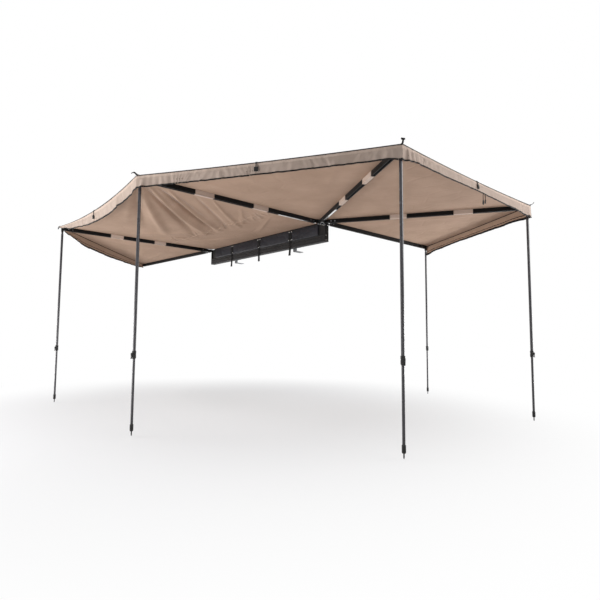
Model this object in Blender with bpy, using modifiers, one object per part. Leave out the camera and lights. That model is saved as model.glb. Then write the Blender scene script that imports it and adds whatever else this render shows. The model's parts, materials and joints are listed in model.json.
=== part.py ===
"""Fan awning for the left side of a vehicle's roof, shown fully open.

Lengths are metres. +X points from the awning across the roof, +Y forward along the case, +Z up.
The origin is on the rail's mounting face, midway between the two end hinges.

An arm's heading is 0 when it points straight away from the vehicle and grows towards the rear.
In an arm's own frame +X runs from its pin to its tip and +Y to its rearward side.
Arms B to E fan out from the rear hub, each hinged on the one before; F is hinged on A at the front.
"""

import math

import bmesh
import bpy
from mathutils import Matrix

# Case: the rail is an extrusion along Y that carries everything.
HINGE_SPACING = 2.28
RAIL_BOTTOM = -0.100
RAIL_TOP = 0.1145
RAIL_DEPTH = 0.040
RAIL_WALL = 0.003
LEDGE_DEPTH = 0.056
LEDGE_TOP = -0.020
LEDGE_RIB = 0.003
LEDGE_ROUND = 0.008
T_SLOT_MOUTH = 0.009
T_SLOT_WIDTH = 0.018
T_SLOT_LIP = 0.0025
T_SLOT_DEPTH = 0.009
T_SLOT_HEIGHTS = (-0.060, 0.070)
RAIL_OVERHANG = 0.0037
END_PLATE = 0.006
END_WEB_SETBACK = 0.0045
END_WEB_INWARD = 0.008
BAG_END_CLEARANCE = 0.10
BAG_BULGE = 0.0145
BAG_ROUND = 0.005

# Arms: channels that open downwards, side by side at one pitch when folded.
ARM_PITCH = 0.035
ARM_REACH = 1.98
ARM_WIDTH = 0.032
ARM_HEIGHT = 0.040
ARM_WALL = 0.0025
ARM_LIP = 0.008
ARM_TOP = 0.115
ARM_GROOVE = 0.001
ARM_GROOVE_WIDTH = 0.004
FIRST_SLOT = 0.023
HEADINGS = {"a": 0.0, "b": 0.0, "c": 60.0, "d": 120.0, "e": 180.0, "f": -87.0}

# Hinge castings.
EYE_RADIUS = 0.013
PIN_RADIUS = 0.004
PIN_HEAD_RADIUS = 0.008
PIN_HEAD = 0.004
FORK_PLATE = 0.006
FORK_CLEARANCE = 0.0004
SHOULDER_START = 0.050
SHOULDER = 0.012
TENON = 0.085
NECK_TAPER = 0.014
TIP_BLOCK_BACK = 0.035
TIP_BLOCK_FRONT = 0.012
TIP_CORNER = 0.006

# Legs.
LEG_DROP = 1.948
LEG_PIVOT_BELOW_TOP = 0.057
LEG_RADIUS = 0.012
LEG_WALL = 0.0015
LEG_PLUG = 0.020
LOWER_LEG_RADIUS = 0.010
LOWER_LEG_LENGTH = 1.05
COLLAR_HEIGHT_ABOVE_GROUND = 0.580
COLLAR_LENGTH = 0.060
COLLAR_RADIUS = 0.0155
COLLAR_GRIP = 0.032
COLLAR_RIM = 0.0015
COLLAR_TAPER = 0.008
FOOT_RADIUS = 0.0135
FOOT_LENGTH = 0.052
FOOT_CUP = 0.030
SPIKE_RADIUS = 0.0045
SPIKE_LENGTH = 0.038
SPIKE_POINT = 0.012
TONGUE = 0.011
TONGUE_EYE = 0.0095
TONGUE_LENGTH = 0.022
TONGUE_WIDTH = 0.016
EAR = 0.0045
EAR_RADIUS = 0.0105

# Stiffeners under the arm roots.
STIFFENER_START = 0.160
STIFFENER_LENGTH = 0.400
STIFFENER_WIDTH = 0.019
STIFFENER_THICKNESS = 0.002

# Canvas.
CANVAS = 0.0008
VALANCE_DROP = 0.105
VALANCE_REACH = 0.030
PANEL_SAG = 0.022
SIDE_SAG = 0.045
CANVAS_START = 0.012
SLEEVE_HALF = 0.021

# Roof brackets and bag straps.
BRACKET_PLACES = {"rear": -0.60, "front": 0.60}
BRACKET_WIDTH = 0.060
BRACKET_PLATE = 0.006
BRACKET_FOOT = 0.110
BRACKET_BELOW = 0.035
BRACKET_TOP = 0.090
BRACKET_SLOT_WIDTH = 0.0085
BRACKET_SLOT_LENGTH = 0.040
BRACKET_CORNER = 0.004
BOLT_HEAD_RADIUS = 0.0075
BOLT_HEAD = 0.0055
BOLT_RADIUS = 0.004
STRAP_PLACES = {"rear": -0.58, "middle": 0.02, "front": 0.62}
STRAP_WIDTH = 0.025
STRAP_THICKNESS = 0.002
STRAP_ABOVE_LEDGE = 0.058
STRAP_BELOW_RAIL = 0.085
BUCKLE_WIDTH = 0.036
BUCKLE_HEIGHT = 0.046
BUCKLE_THICKNESS = 0.0042
BUCKLE_WINDOW = 0.008

# Fits: surfaces that touch on the real awning keep GAP, and pins run in their holes with PIN_FIT.
GAP = 0.0003
PIN_FIT = 0.0001

# Edges are broken by EDGE; fused shapes run FUSE into each other and cutters PAST what they cut.
EDGE = 0.001
FUSE = 0.004
PAST = 0.010
ROUND = 24
TUBE_SIDES = 18

BAG_LENGTH = HINGE_SPACING - 2 * BAG_END_CLEARANCE
HUB_Y = -HINGE_SPACING / 2
FRONT_Y = HINGE_SPACING / 2
ARM_BOTTOM = ARM_TOP - ARM_HEIGHT
FIRST_PIN_X = -(LEDGE_DEPTH + FIRST_SLOT - 0.001)
HUB_PIN_X = FIRST_PIN_X - 2 * ARM_PITCH
FORK_LOW = ARM_BOTTOM + 0.001
NECK_LOW = FORK_LOW + FORK_PLATE + FORK_CLEARANCE
NECK_HIGH = ARM_TOP - FORK_PLATE - FORK_CLEARANCE
ARM_START = SHOULDER_START + SHOULDER + GAP
LEG_PIVOT_Z = ARM_TOP - LEG_PIVOT_BELOW_TOP
GRIP_BELOW_TUBE = COLLAR_LENGTH - COLLAR_GRIP


def clear_scene():
    for obj in list(bpy.data.objects):
        bpy.data.objects.remove(obj, do_unlink=True)


def new_collection(name):
    collection = bpy.data.collections.new(name)
    bpy.context.scene.collection.children.link(collection)
    return collection


def material(name, colour, roughness, metallic=0.0):
    made = bpy.data.materials.new(name)
    made.use_nodes = True
    shader = made.node_tree.nodes["Principled BSDF"]
    shader.inputs["Base Color"].default_value = (*colour, 1.0)
    shader.inputs["Roughness"].default_value = roughness
    shader.inputs["Metallic"].default_value = metallic
    return made


def evaluated_mesh(obj):
    """The object's mesh as its modifiers leave it; the object itself is removed."""
    graph = bpy.context.evaluated_depsgraph_get()
    mesh = bpy.data.meshes.new_from_object(obj.evaluated_get(graph))
    bpy.data.objects.remove(obj, do_unlink=True)
    return mesh


def welded(mesh):
    shape = bmesh.new()
    shape.from_mesh(mesh)
    bmesh.ops.remove_doubles(shape, verts=shape.verts, dist=0.000001)
    shape.to_mesh(mesh)
    shape.free()
    return mesh


def extruded(outlines, low, high, turn=None):
    """Closed outlines in the XY plane, run from low to high along Z, then turned."""
    curve = bpy.data.curves.new("outline", "CURVE")
    curve.dimensions = "2D"
    curve.fill_mode = "BOTH"
    curve.extrude = (high - low) / 2
    for outline in outlines:
        spline = curve.splines.new("POLY")
        spline.points.add(len(outline) - 1)
        for point, (x, y) in zip(spline.points, outline):
            point.co = (x, y, 0.0, 1.0)
        spline.use_cyclic_u = True
    holder = bpy.data.objects.new("outline", curve)
    bpy.context.scene.collection.objects.link(holder)
    mesh = welded(evaluated_mesh(holder))
    mesh.transform(Matrix.Translation((0.0, 0.0, (low + high) / 2)))
    if turn is not None:
        mesh.transform(turn)
    return mesh


def box(low, high):
    shape = bmesh.new()
    size = [b - a for a, b in zip(low, high)]
    centre = [(a + b) / 2 for a, b in zip(low, high)]
    place = Matrix.Translation(centre) @ Matrix.Diagonal((*size, 1.0))
    bmesh.ops.create_cube(shape, size=1.0, matrix=place)
    mesh = bpy.data.meshes.new("box")
    shape.to_mesh(mesh)
    shape.free()
    return mesh


def rod(radius, low, high, x=0.0, y=0.0, sides=ROUND, turn=None):
    """A round bar along Z from low to high, then turned."""
    shape = bmesh.new()
    place = Matrix.Translation((x, y, (low + high) / 2))
    bmesh.ops.create_cone(
        shape, cap_ends=True, segments=sides, radius1=radius, radius2=radius, depth=high - low, matrix=place
    )
    mesh = bpy.data.meshes.new("rod")
    shape.to_mesh(mesh)
    shape.free()
    if turn is not None:
        mesh.transform(turn)
    return mesh


def turned(profile, closed=False, sides=ROUND):
    """A profile of (radius, height) points, down its outer side, spun about Z."""
    mesh = bpy.data.meshes.new("profile")
    edges = [(i, i + 1) for i in range(len(profile) - 1)]
    if closed:
        edges.append((len(profile) - 1, 0))
    mesh.from_pydata([(radius, 0.0, height) for radius, height in profile], edges, [])
    holder = bpy.data.objects.new("profile", mesh)
    bpy.context.scene.collection.objects.link(holder)
    screw = holder.modifiers.new("turn", "SCREW")
    screw.steps = sides
    screw.render_steps = sides
    screw.use_merge_vertices = True
    screw.merge_threshold = 0.00001
    return welded(evaluated_mesh(holder))


def joined(adds, cuts=()):
    """One solid: the first mesh with the other adds fused on and the cuts taken out."""
    base = bpy.data.objects.new("joined", adds[0])
    bpy.context.scene.collection.objects.link(base)
    helpers = []
    for operation, meshes in (("UNION", adds[1:]), ("DIFFERENCE", cuts)):
        for mesh in meshes:
            helper = bpy.data.objects.new("helper", mesh)
            bpy.context.scene.collection.objects.link(helper)
            step = base.modifiers.new(operation.lower(), "BOOLEAN")
            step.operation = operation
            step.solver = "EXACT"
            step.object = helper
            helpers.append(helper)
    mesh = evaluated_mesh(base)
    for helper in helpers:
        bpy.data.objects.remove(helper, do_unlink=True)
    return mesh


def bevelled(mesh, width, segments=2, angle=40.0):
    holder = bpy.data.objects.new("bevelled", mesh)
    bpy.context.scene.collection.objects.link(holder)
    bevel = holder.modifiers.new("round", "BEVEL")
    bevel.width = width
    bevel.segments = segments
    bevel.limit_method = "ANGLE"
    bevel.angle_limit = math.radians(angle)
    return evaluated_mesh(holder)


def arc(cx, cy, radius, start, end, steps):
    """Points on a circle from one angle to another, in degrees."""
    angles = [math.radians(start + (end - start) * i / steps) for i in range(steps + 1)]
    return [(cx + radius * math.cos(a), cy + radius * math.sin(a)) for a in angles]


def mirrored(outline):
    return [(x, -y) for x, y in reversed(outline)]


def place(name, mesh, finish, carrier=None):
    """A named piece of the awning, in its carrier's frame."""
    mesh.name = name
    if not mesh.materials:
        mesh.materials.append(finish)
    mesh.shade_smooth()
    mesh.set_sharp_from_angle(angle=math.radians(32))
    obj = bpy.data.objects.new(name, mesh)
    awning.objects.link(obj)
    obj.parent = carrier
    return obj


def hinge(name, location, turn, carrier=None):
    """An empty on a joint's axis, which the pieces of the moving body are parented to."""
    empty = bpy.data.objects.new(name, None)
    empty.empty_display_size = 0.05
    empty.location = location
    empty.rotation_euler = (0.0, 0.0, turn)
    awning.objects.link(empty)
    empty.parent = carrier
    return empty


def rail_outline():
    """The rail's section: X is its depth from the mounting face, Y its height."""
    outline = [(0.0, RAIL_BOTTOM)]
    for height in T_SLOT_HEIGHTS:
        mouth, width = T_SLOT_MOUTH / 2, T_SLOT_WIDTH / 2
        outline += [
            (0.0, height - mouth),
            (-T_SLOT_LIP, height - mouth),
            (-T_SLOT_LIP, height - width),
            (-T_SLOT_DEPTH, height - width),
            (-T_SLOT_DEPTH, height + width),
            (-T_SLOT_LIP, height + width),
            (-T_SLOT_LIP, height + mouth),
            (0.0, height + mouth),
        ]
    outline += [(0.0, RAIL_TOP), (-RAIL_DEPTH, RAIL_TOP), (-RAIL_DEPTH, LEDGE_TOP)]
    outline += [(-LEDGE_DEPTH, LEDGE_TOP)]
    drop = (LEDGE_TOP - RAIL_BOTTOM) / 4
    for band in (1, 3):
        top = LEDGE_TOP - band * drop + drop / 2
        low = top - drop
        outline += [
            (-LEDGE_DEPTH, top),
            (-LEDGE_DEPTH + LEDGE_RIB, top - LEDGE_RIB),
            (-LEDGE_DEPTH + LEDGE_RIB, low + LEDGE_RIB),
            (-LEDGE_DEPTH, low),
        ]
    outline += arc(-LEDGE_DEPTH + LEDGE_ROUND, RAIL_BOTTOM + LEDGE_ROUND, LEDGE_ROUND, 180, 270, 5)
    return outline


def rail_hollows():
    """The two chambers of the section, behind the ledge and behind the bag."""
    back = T_SLOT_DEPTH + RAIL_WALL
    front = LEDGE_DEPTH - LEDGE_RIB - RAIL_WALL
    split = LEDGE_TOP - RAIL_WALL
    lower = [(-front, RAIL_BOTTOM + RAIL_WALL), (-front, split), (-back, split), (-back, RAIL_BOTTOM + RAIL_WALL)]
    web = RAIL_DEPTH - RAIL_WALL
    upper = [(-web, LEDGE_TOP), (-web, RAIL_TOP - RAIL_WALL), (-back, RAIL_TOP - RAIL_WALL), (-back, LEDGE_TOP)]
    return [lower, upper]


def along_y():
    """Turns a section drawn in XY so that its Y is up and its length runs along world Y."""
    return Matrix.Rotation(math.radians(90), 4, "X")


def make_rail():
    half = HINGE_SPACING / 2 + RAIL_OVERHANG
    mesh = extruded([rail_outline(), *rail_hollows()], -half, half, along_y())
    place("back_rail", mesh, aluminium)


def hinge_bracket(pin_x, pin_y, outward, side):
    """End plate over the rail's end, with a fork that reaches out to the pin."""
    inner = pin_y + outward * (RAIL_OVERHANG + GAP)
    outer = inner + outward * END_PLATE
    low_y, high_y = sorted((inner, outer))
    plate = box((-LEDGE_DEPTH, low_y, RAIL_BOTTOM), (0.0, high_y, ARM_TOP))
    web_x = -(RAIL_DEPTH + END_WEB_SETBACK)
    far_x = pin_x + EYE_RADIUS + FUSE / 2
    low_y, high_y = sorted((pin_y - outward * END_WEB_INWARD, outer))
    web = box((far_x, low_y, FORK_LOW), (web_x, high_y, ARM_TOP))
    tab = (high_y - low_y) / 2
    middle = (high_y + low_y) / 2
    steps = arc(pin_x, pin_y, EYE_RADIUS, 90, 270, 8)
    outline = [*steps, (far_x + FUSE, middle - tab), (far_x + FUSE, middle + tab)]
    forks = [
        extruded([outline], ARM_TOP - FORK_PLATE, ARM_TOP),
        extruded([outline], FORK_LOW, FORK_LOW + FORK_PLATE),
    ]
    hole = rod(PIN_RADIUS + PIN_FIT, RAIL_BOTTOM, ARM_TOP + PAST, pin_x, pin_y)
    place(f"{side}_hinge_bracket", joined([plate, web, *forks], [hole]), casting)


def make_pin(letter, carrier, x=0.0, y=0.0):
    """A shouldered pin from below: its head under the fork, its end flush inside the top plate."""
    top = ARM_TOP - GAP
    head_top = FORK_LOW - GAP
    head_low = head_top - PIN_HEAD
    profile = [
        (0.0, top),
        (PIN_RADIUS - EDGE / 2, top),
        (PIN_RADIUS, top - EDGE / 2),
        (PIN_RADIUS, head_top),
        (PIN_HEAD_RADIUS, head_top),
        (PIN_HEAD_RADIUS, head_low + EDGE),
        (PIN_HEAD_RADIUS - EDGE, head_low),
        (0.0, head_low),
    ]
    mesh = turned(profile)
    mesh.transform(Matrix.Translation((x, y, 0.0)))
    place(f"pin_{letter}", mesh, steel, carrier)


def root_casting(fork_side):
    """An arm's root: eye and neck, shoulder, tenon, and a fork for the next arm on one side."""
    half = ARM_WIDTH / 2
    waist = SHOULDER_START - NECK_TAPER
    neck_outline = [*arc(0.0, 0.0, EYE_RADIUS, 90, 270, 10), (waist, -EYE_RADIUS), (SHOULDER_START, -half)]
    neck_outline += [(SHOULDER_START + SHOULDER / 2, -half), (SHOULDER_START + SHOULDER / 2, half)]
    neck_outline += [(SHOULDER_START, half), (waist, EYE_RADIUS)]
    neck = extruded([neck_outline], NECK_LOW, NECK_HIGH)
    shoulder_end = SHOULDER_START + SHOULDER
    shoulder = box((SHOULDER_START, -half, ARM_BOTTOM), (shoulder_end, half, ARM_TOP))
    inside = half - ARM_WALL - GAP
    tenon = box(
        (shoulder_end - FUSE, -inside, ARM_BOTTOM + ARM_WALL + GAP),
        (shoulder_end + TENON, inside, ARM_TOP - ARM_WALL - GAP),
    )
    adds = [neck, shoulder, tenon]
    cuts = [rod(PIN_RADIUS + PIN_FIT, ARM_BOTTOM - PAST, ARM_TOP + PAST)]
    if fork_side:
        outline = [*arc(0.0, ARM_PITCH, EYE_RADIUS, 50, 240, 10), (SHOULDER_START + 0.002, 0.003)]
        outline += [(shoulder_end - 0.001, 0.003), (shoulder_end - 0.001, half - 0.0005)]
        outline += [(SHOULDER_START - 0.003, half + 0.001)]
        if fork_side < 0:
            outline = mirrored(outline)
        adds.append(extruded([outline], ARM_TOP - FORK_PLATE, ARM_TOP))
        adds.append(extruded([outline], FORK_LOW, FORK_LOW + FORK_PLATE))
        cuts.append(
            rod(PIN_RADIUS + PIN_FIT, ARM_BOTTOM - PAST, ARM_TOP + PAST, 0.0, fork_side * ARM_PITCH)
        )
    return joined(adds, cuts)


def channel_outline():
    """The arm's section, X across and Y up: an inverted channel with lips and two side grooves."""
    half = ARM_WIDTH / 2
    inside = half - ARM_WALL
    side = [(half, 0.0)]
    for share in (0.36, 0.64):
        middle = share * ARM_HEIGHT
        side += [
            (half, middle - ARM_GROOVE_WIDTH / 2 - ARM_GROOVE),
            (half - ARM_GROOVE, middle - ARM_GROOVE_WIDTH / 2),
            (half - ARM_GROOVE, middle + ARM_GROOVE_WIDTH / 2),
            (half, middle + ARM_GROOVE_WIDTH / 2 + ARM_GROOVE),
        ]
    side += [(half, ARM_HEIGHT)]
    outer = side + [(-x, y) for x, y in reversed(side)]
    lip = half - ARM_LIP
    inner = [(-lip, 0.0), (-lip, ARM_WALL), (-inside, ARM_WALL), (-inside, ARM_HEIGHT - ARM_WALL)]
    return outer + inner + [(-x, y) for x, y in reversed(inner)]


def along_arm():
    """Turns a section drawn in XY so that its Y is up and its length runs along the arm's X."""
    return Matrix(((0.0, 0.0, 1.0, 0.0), (1.0, 0.0, 0.0, 0.0), (0.0, 1.0, 0.0, 0.0), (0.0, 0.0, 0.0, 1.0)))


def channel_mesh():
    end = ARM_REACH - TIP_BLOCK_BACK - GAP
    mesh = extruded([channel_outline()], ARM_START, end, along_arm())
    mesh.transform(Matrix.Translation((0.0, 0.0, ARM_BOTTOM)))
    return mesh


def tip_casting(with_leg):
    """An arm's tip: tenon and end block, with two ears and a pin for the leg below."""
    half = ARM_WIDTH / 2
    inside = half - ARM_WALL - GAP
    start = ARM_REACH - TIP_BLOCK_BACK
    end = ARM_REACH + TIP_BLOCK_FRONT
    outline = [(start, -half), (end - TIP_CORNER, -half), (end, -half + TIP_CORNER)]
    outline += [(end, half - TIP_CORNER), (end - TIP_CORNER, half), (start, half)]
    block = extruded([outline], ARM_BOTTOM, ARM_TOP)
    tenon = box(
        (start - TENON, -inside, ARM_BOTTOM + ARM_WALL + GAP),
        (start + FUSE, inside, ARM_TOP - ARM_WALL - GAP),
    )
    adds = [block, tenon]
    if with_leg:
        slot = TONGUE / 2 + 2 * GAP
        ear = [*arc(ARM_REACH, LEG_PIVOT_Z, EAR_RADIUS, 180, 360, 8)]
        ear += [(ARM_REACH + EAR_RADIUS, ARM_BOTTOM + 0.003), (ARM_REACH - EAR_RADIUS, ARM_BOTTOM + 0.003)]
        for side in (1, -1):
            low, high = sorted((side * slot, side * (slot + EAR)))
            adds.append(extruded([ear], low, high, along_y()))
        adds.append(rod(PIN_RADIUS, -slot - EAR / 2, slot + EAR / 2, turn=pin_turn()))
    return joined(adds)


def pin_turn():
    """Lays a Z rod along Y through the leg's pivot."""
    return Matrix.Translation((ARM_REACH, 0.0, LEG_PIVOT_Z)) @ Matrix.Rotation(math.radians(90), 4, "X")


def stiffener_mesh():
    half = STIFFENER_WIDTH / 2
    top = ARM_BOTTOM - GAP
    low = (STIFFENER_START, -half, top - STIFFENER_THICKNESS)
    high = (STIFFENER_START + STIFFENER_LENGTH, half, top)
    return bevelled(box(low, high), STIFFENER_THICKNESS / 3, 1)


def upper_leg_mesh():
    """Tube with a plugged top and a flat tongue about the pivot, which is at its origin."""
    top = -TONGUE_LENGTH
    low = -(LEG_DROP - COLLAR_HEIGHT_ABOVE_GROUND - GRIP_BELOW_TUBE)
    bore = LEG_RADIUS - LEG_WALL
    profile = [(0.0, top), (LEG_RADIUS - 2 * EDGE, top), (LEG_RADIUS, top - 2 * EDGE), (LEG_RADIUS, low)]
    profile += [(bore, low), (bore, top - LEG_PLUG), (0.0, top - LEG_PLUG)]
    tube = turned(profile, sides=TUBE_SIDES)
    half = TONGUE_WIDTH / 2
    tongue = box((-half, -TONGUE / 2, top - FUSE), (half, TONGUE / 2, 0.0))
    lay = Matrix.Rotation(math.radians(90), 4, "X")
    eye = rod(TONGUE_EYE, -TONGUE / 2, TONGUE / 2, turn=lay)
    hole = rod(PIN_RADIUS + PIN_FIT, -TONGUE, TONGUE, turn=lay)
    return joined([tube, tongue, eye], [hole])


def collar_mesh():
    """Clamp collar: its upper bore takes the upper tube's end, its lower bore the lower tube."""
    low = -(LEG_DROP - COLLAR_HEIGHT_ABOVE_GROUND)
    high = low + COLLAR_LENGTH
    seat = low + GRIP_BELOW_TUBE - GAP
    waist = COLLAR_RADIUS - COLLAR_RIM
    profile = [
        (LEG_RADIUS + COLLAR_RIM, high),
        (COLLAR_RADIUS, high - 2 * COLLAR_RIM),
        (COLLAR_RADIUS, seat + 0.012),
        (waist, seat + 0.009),
        (waist, seat + 0.005),
        (COLLAR_RADIUS, seat + 0.002),
        (COLLAR_RADIUS, low + COLLAR_TAPER),
        (LOWER_LEG_RADIUS + GAP + COLLAR_RIM, low),
        (LOWER_LEG_RADIUS + GAP, low),
        (LOWER_LEG_RADIUS + GAP, seat),
        (LEG_RADIUS + GAP, seat),
        (LEG_RADIUS + GAP, high),
    ]
    return turned(profile, closed=True, sides=TUBE_SIDES)


def lower_leg_mesh():
    low = -(LEG_DROP - SPIKE_LENGTH - FOOT_LENGTH + FOOT_CUP)
    high = low + LOWER_LEG_LENGTH
    bore = LOWER_LEG_RADIUS - LEG_WALL
    profile = [(LOWER_LEG_RADIUS, high), (LOWER_LEG_RADIUS, low), (bore, low), (bore, high)]
    return turned(profile, closed=True, sides=TUBE_SIDES)


def foot_mesh():
    """Moulded foot: a cup over the lower tube's end, and a steel spike below."""
    ground = -LEG_DROP
    base = ground + SPIKE_LENGTH
    rim = base + FOOT_LENGTH
    floor = rim - FOOT_CUP - GAP
    bore = LOWER_LEG_RADIUS + GAP
    profile = [
        (0.0, floor),
        (bore, floor),
        (bore, rim),
        (FOOT_RADIUS - 2 * EDGE, rim),
        (FOOT_RADIUS, rim - 3 * EDGE),
        (FOOT_RADIUS, base + 6 * EDGE),
        (FOOT_RADIUS - 3 * EDGE, base),
        (SPIKE_RADIUS, base),
        (SPIKE_RADIUS, ground + SPIKE_POINT),
        (0.0, ground),
    ]
    return turned(profile, sides=TUBE_SIDES)


def make_arms():
    """The chain of arms on each hinge; returns the empties on the arms' pins."""
    channel = channel_mesh()
    roots = {1: root_casting(1), -1: root_casting(-1), 0: root_casting(0)}
    tips = {True: tip_casting(True), False: tip_casting(False)}
    chain = (
        ("a", None, (FIRST_PIN_X, FRONT_Y), -1),
        ("f", "a", (0.0, -ARM_PITCH), 0),
        ("b", None, (HUB_PIN_X, HUB_Y), 1),
        ("c", "b", (0.0, ARM_PITCH), 1),
        ("d", "c", (0.0, ARM_PITCH), 1),
        ("e", "d", (0.0, ARM_PITCH), 0),
    )
    hinges = {}
    for letter, carrier, (x, y), fork_side in chain:
        base = hinges.get(carrier)
        turn = HEADINGS[letter] - HEADINGS[carrier] if carrier else 180.0 + HEADINGS[letter]
        hinges[letter] = hinge(f"hinge_{letter}", (x, y, 0.0), math.radians(turn), base)
        own = hinges[letter]
        place(f"arm_{letter}_channel", channel.copy(), arm_finish, own)
        place(f"arm_{letter}_root", roots[fork_side].copy(), casting, own)
        place(f"arm_{letter}_tip", tips[letter != "f"].copy(), casting, own)
        make_pin(letter, base, x, y)
    for letter in "bc":
        place(f"stiffener_{letter}", stiffener_mesh(), bright, hinges[letter])
    return hinges


def make_legs(hinges):
    upper, collar, lower, foot = upper_leg_mesh(), collar_mesh(), lower_leg_mesh(), foot_mesh()
    for letter in "abcde":
        pivot = hinge(f"leg_pivot_{letter}", (ARM_REACH, 0.0, LEG_PIVOT_Z), 0.0, hinges[letter])
        place(f"leg_{letter}_upper", upper.copy(), leg_finish, pivot)
        place(f"leg_{letter}_collar", collar.copy(), plastic, pivot)
        place(f"leg_{letter}_lower", lower.copy(), leg_finish, pivot)
        place(f"leg_{letter}_foot", foot.copy(), plastic, pivot)


def heading_vector(degrees):
    return -math.cos(math.radians(degrees)), -math.sin(math.radians(degrees))


def pins_in_plan():
    """Where each arm's pin is, worked out along the chains."""
    pins = {"a": (FIRST_PIN_X, FRONT_Y), "b": (HUB_PIN_X, HUB_Y)}
    for letter, carrier, side in (("f", "a", -90.0), ("c", "b", 90.0), ("d", "c", 90.0), ("e", "d", 90.0)):
        dx, dy = heading_vector(HEADINGS[carrier] + side)
        x, y = pins[carrier]
        pins[letter] = (x + ARM_PITCH * dx, y + ARM_PITCH * dy)
    return pins


def shares(count, edge):
    """Steps from 0 to 1 with one close to each end, where the cloth leaves its arm."""
    inner = [edge + (1 - 2 * edge) * i / (count - 2) for i in range(count - 1)]
    return [0.0, *inner, 1.0]


def sagging(u, edge, depth):
    """How far the cloth hangs below its arms, none over the arms themselves."""
    if u <= edge or u >= 1 - edge:
        return 0.0
    v = (u - edge) / (1 - 2 * edge)
    return depth * 4 * v * (1 - v)


def fan_panel(name, first, second, carrier, across=10, along=7):
    """Canvas between two arms' centre lines, with its valance, as one thin closed shell."""
    pins = pins_in_plan()
    reach = ARM_REACH + VALANCE_REACH
    rows = []
    for i in range(along + 1):
        share = i / along
        radius = CANVAS_START + (reach - CANVAS_START) * share
        ends = []
        for letter, side in ((first, 1.0), (second, -1.0)):
            dx, dy = heading_vector(HEADINGS[letter])
            nx, ny = heading_vector(HEADINGS[letter] + 90.0)
            x, y = pins[letter]
            ends.append((x + radius * dx + side * GAP * nx, y + radius * dy + side * GAP * ny))
        width = math.dist(ends[0], ends[1])
        edge = min(0.42, SLEEVE_HALF / width)
        row = []
        for u in shares(across, edge):
            x = ends[0][0] * (1 - u) + ends[1][0] * u
            y = ends[0][1] * (1 - u) + ends[1][1] * u
            sag = sagging(u, edge, PANEL_SAG * share**2)
            row.append((x, y, ARM_TOP + GAP - sag))
        rows.append(row)
    canvas_shell(name, rows, carrier)


def side_panel(name, carrier, across=14, along=8):
    """Canvas from the rail out to the line between the tips of arms B and A."""
    inner = -(RAIL_DEPTH - RAIL_WALL)
    edge = SLEEVE_HALF / HINGE_SPACING
    rows = []
    for i in range(along + 1):
        share = i / along
        row = []
        for u in shares(across, edge):
            y = (FRONT_Y - GAP) * (1 - u) + (HUB_Y + GAP) * u
            tip = FIRST_PIN_X * (1 - u) + HUB_PIN_X * u - ARM_REACH - VALANCE_REACH
            sag = sagging(u, edge, SIDE_SAG * share**1.5)
            row.append((inner * (1 - share) + tip * share, y, ARM_TOP + GAP - sag))
        rows.append(row)
    canvas_shell(name, rows, carrier)


def canvas_shell(name, rows, carrier, drops=3):
    """A sheet through rows of points and down the valance from the last row, given its thickness."""
    edge = rows[-1]
    for i in range(1, drops + 1):
        rows.append([(x, y, z - VALANCE_DROP * i / drops) for x, y, z in edge])
    wide = len(rows[0])
    points = [point for row in rows for point in row]
    faces = []
    for i in range(len(rows) - 1):
        for j in range(wide - 1):
            a = i * wide + j
            faces.append((a, a + wide, a + wide + 1, a + 1))
    mesh = bpy.data.meshes.new(name)
    mesh.from_pydata(points, [], faces)
    holder = bpy.data.objects.new(name, mesh)
    bpy.context.scene.collection.objects.link(holder)
    shell = holder.modifiers.new("thickness", "SOLIDIFY")
    shell.thickness = CANVAS
    shell.offset = 1.0
    solid = evaluated_mesh(holder)
    if carrier is not None:
        bpy.context.view_layer.update()
        solid.transform(carrier.matrix_world.inverted())
    place(name, solid, canvas, carrier)


def make_canopy(hinges):
    fan_panel("canopy_front", "f", "a", hinges["a"])
    side_panel("canopy_side", None)
    fan_panel("canopy_rear_1", "b", "c", hinges["b"])
    fan_panel("canopy_rear_2", "c", "d", hinges["c"])
    fan_panel("canopy_rear_3", "d", "e", hinges["d"])


def make_bag():
    """The open PVC cover, lying against the rail above the ledge."""
    back = -RAIL_DEPTH - GAP
    front = back - BAG_BULGE
    low, high = LEDGE_TOP + GAP, RAIL_TOP - 0.006
    third = (high - low) / 3
    outline = [(back, low), (back, high), (back - BAG_BULGE * 0.45, high)]
    outline += [(front + 0.002, high - third * 0.7), (front, low + third), (front + 0.001, low)]
    mesh = extruded([outline], -BAG_LENGTH / 2, BAG_LENGTH / 2, along_y())
    place("bag", bevelled(mesh, BAG_ROUND / 2, 2, 60.0), vinyl)


def make_bag_straps():
    """Webbing sewn on the bag, down over the ledge through a ladder buckle, its tail hanging."""
    face = -LEDGE_DEPTH - GAP
    for side, y in STRAP_PLACES.items():
        top = LEDGE_TOP + STRAP_ABOVE_LEDGE
        low = RAIL_BOTTOM - STRAP_BELOW_RAIL
        half = STRAP_WIDTH / 2
        web = box((face - STRAP_THICKNESS, y - half, low), (face, y + half, top))
        middle = top - BUCKLE_HEIGHT / 2
        reach = BUCKLE_WIDTH / 2
        frame = box(
            (face - BUCKLE_THICKNESS, y - reach, middle - BUCKLE_HEIGHT / 2),
            (face - STRAP_THICKNESS / 2, y + reach, middle + BUCKLE_HEIGHT / 2 - GAP),
        )
        windows = []
        for offset in (-BUCKLE_HEIGHT / 4, BUCKLE_HEIGHT / 4):
            low_z = middle + offset - BUCKLE_WINDOW / 2
            windows.append(
                box(
                    (face - 2 * BUCKLE_THICKNESS, y - half + 0.001, low_z),
                    (face - STRAP_THICKNESS, y + half - 0.001, low_z + BUCKLE_WINDOW),
                )
            )
        frame = joined([bevelled(frame, 0.0012, 1)], windows)
        place(f"bag_strap_{side}", joined([web, frame]), webbing)


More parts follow.
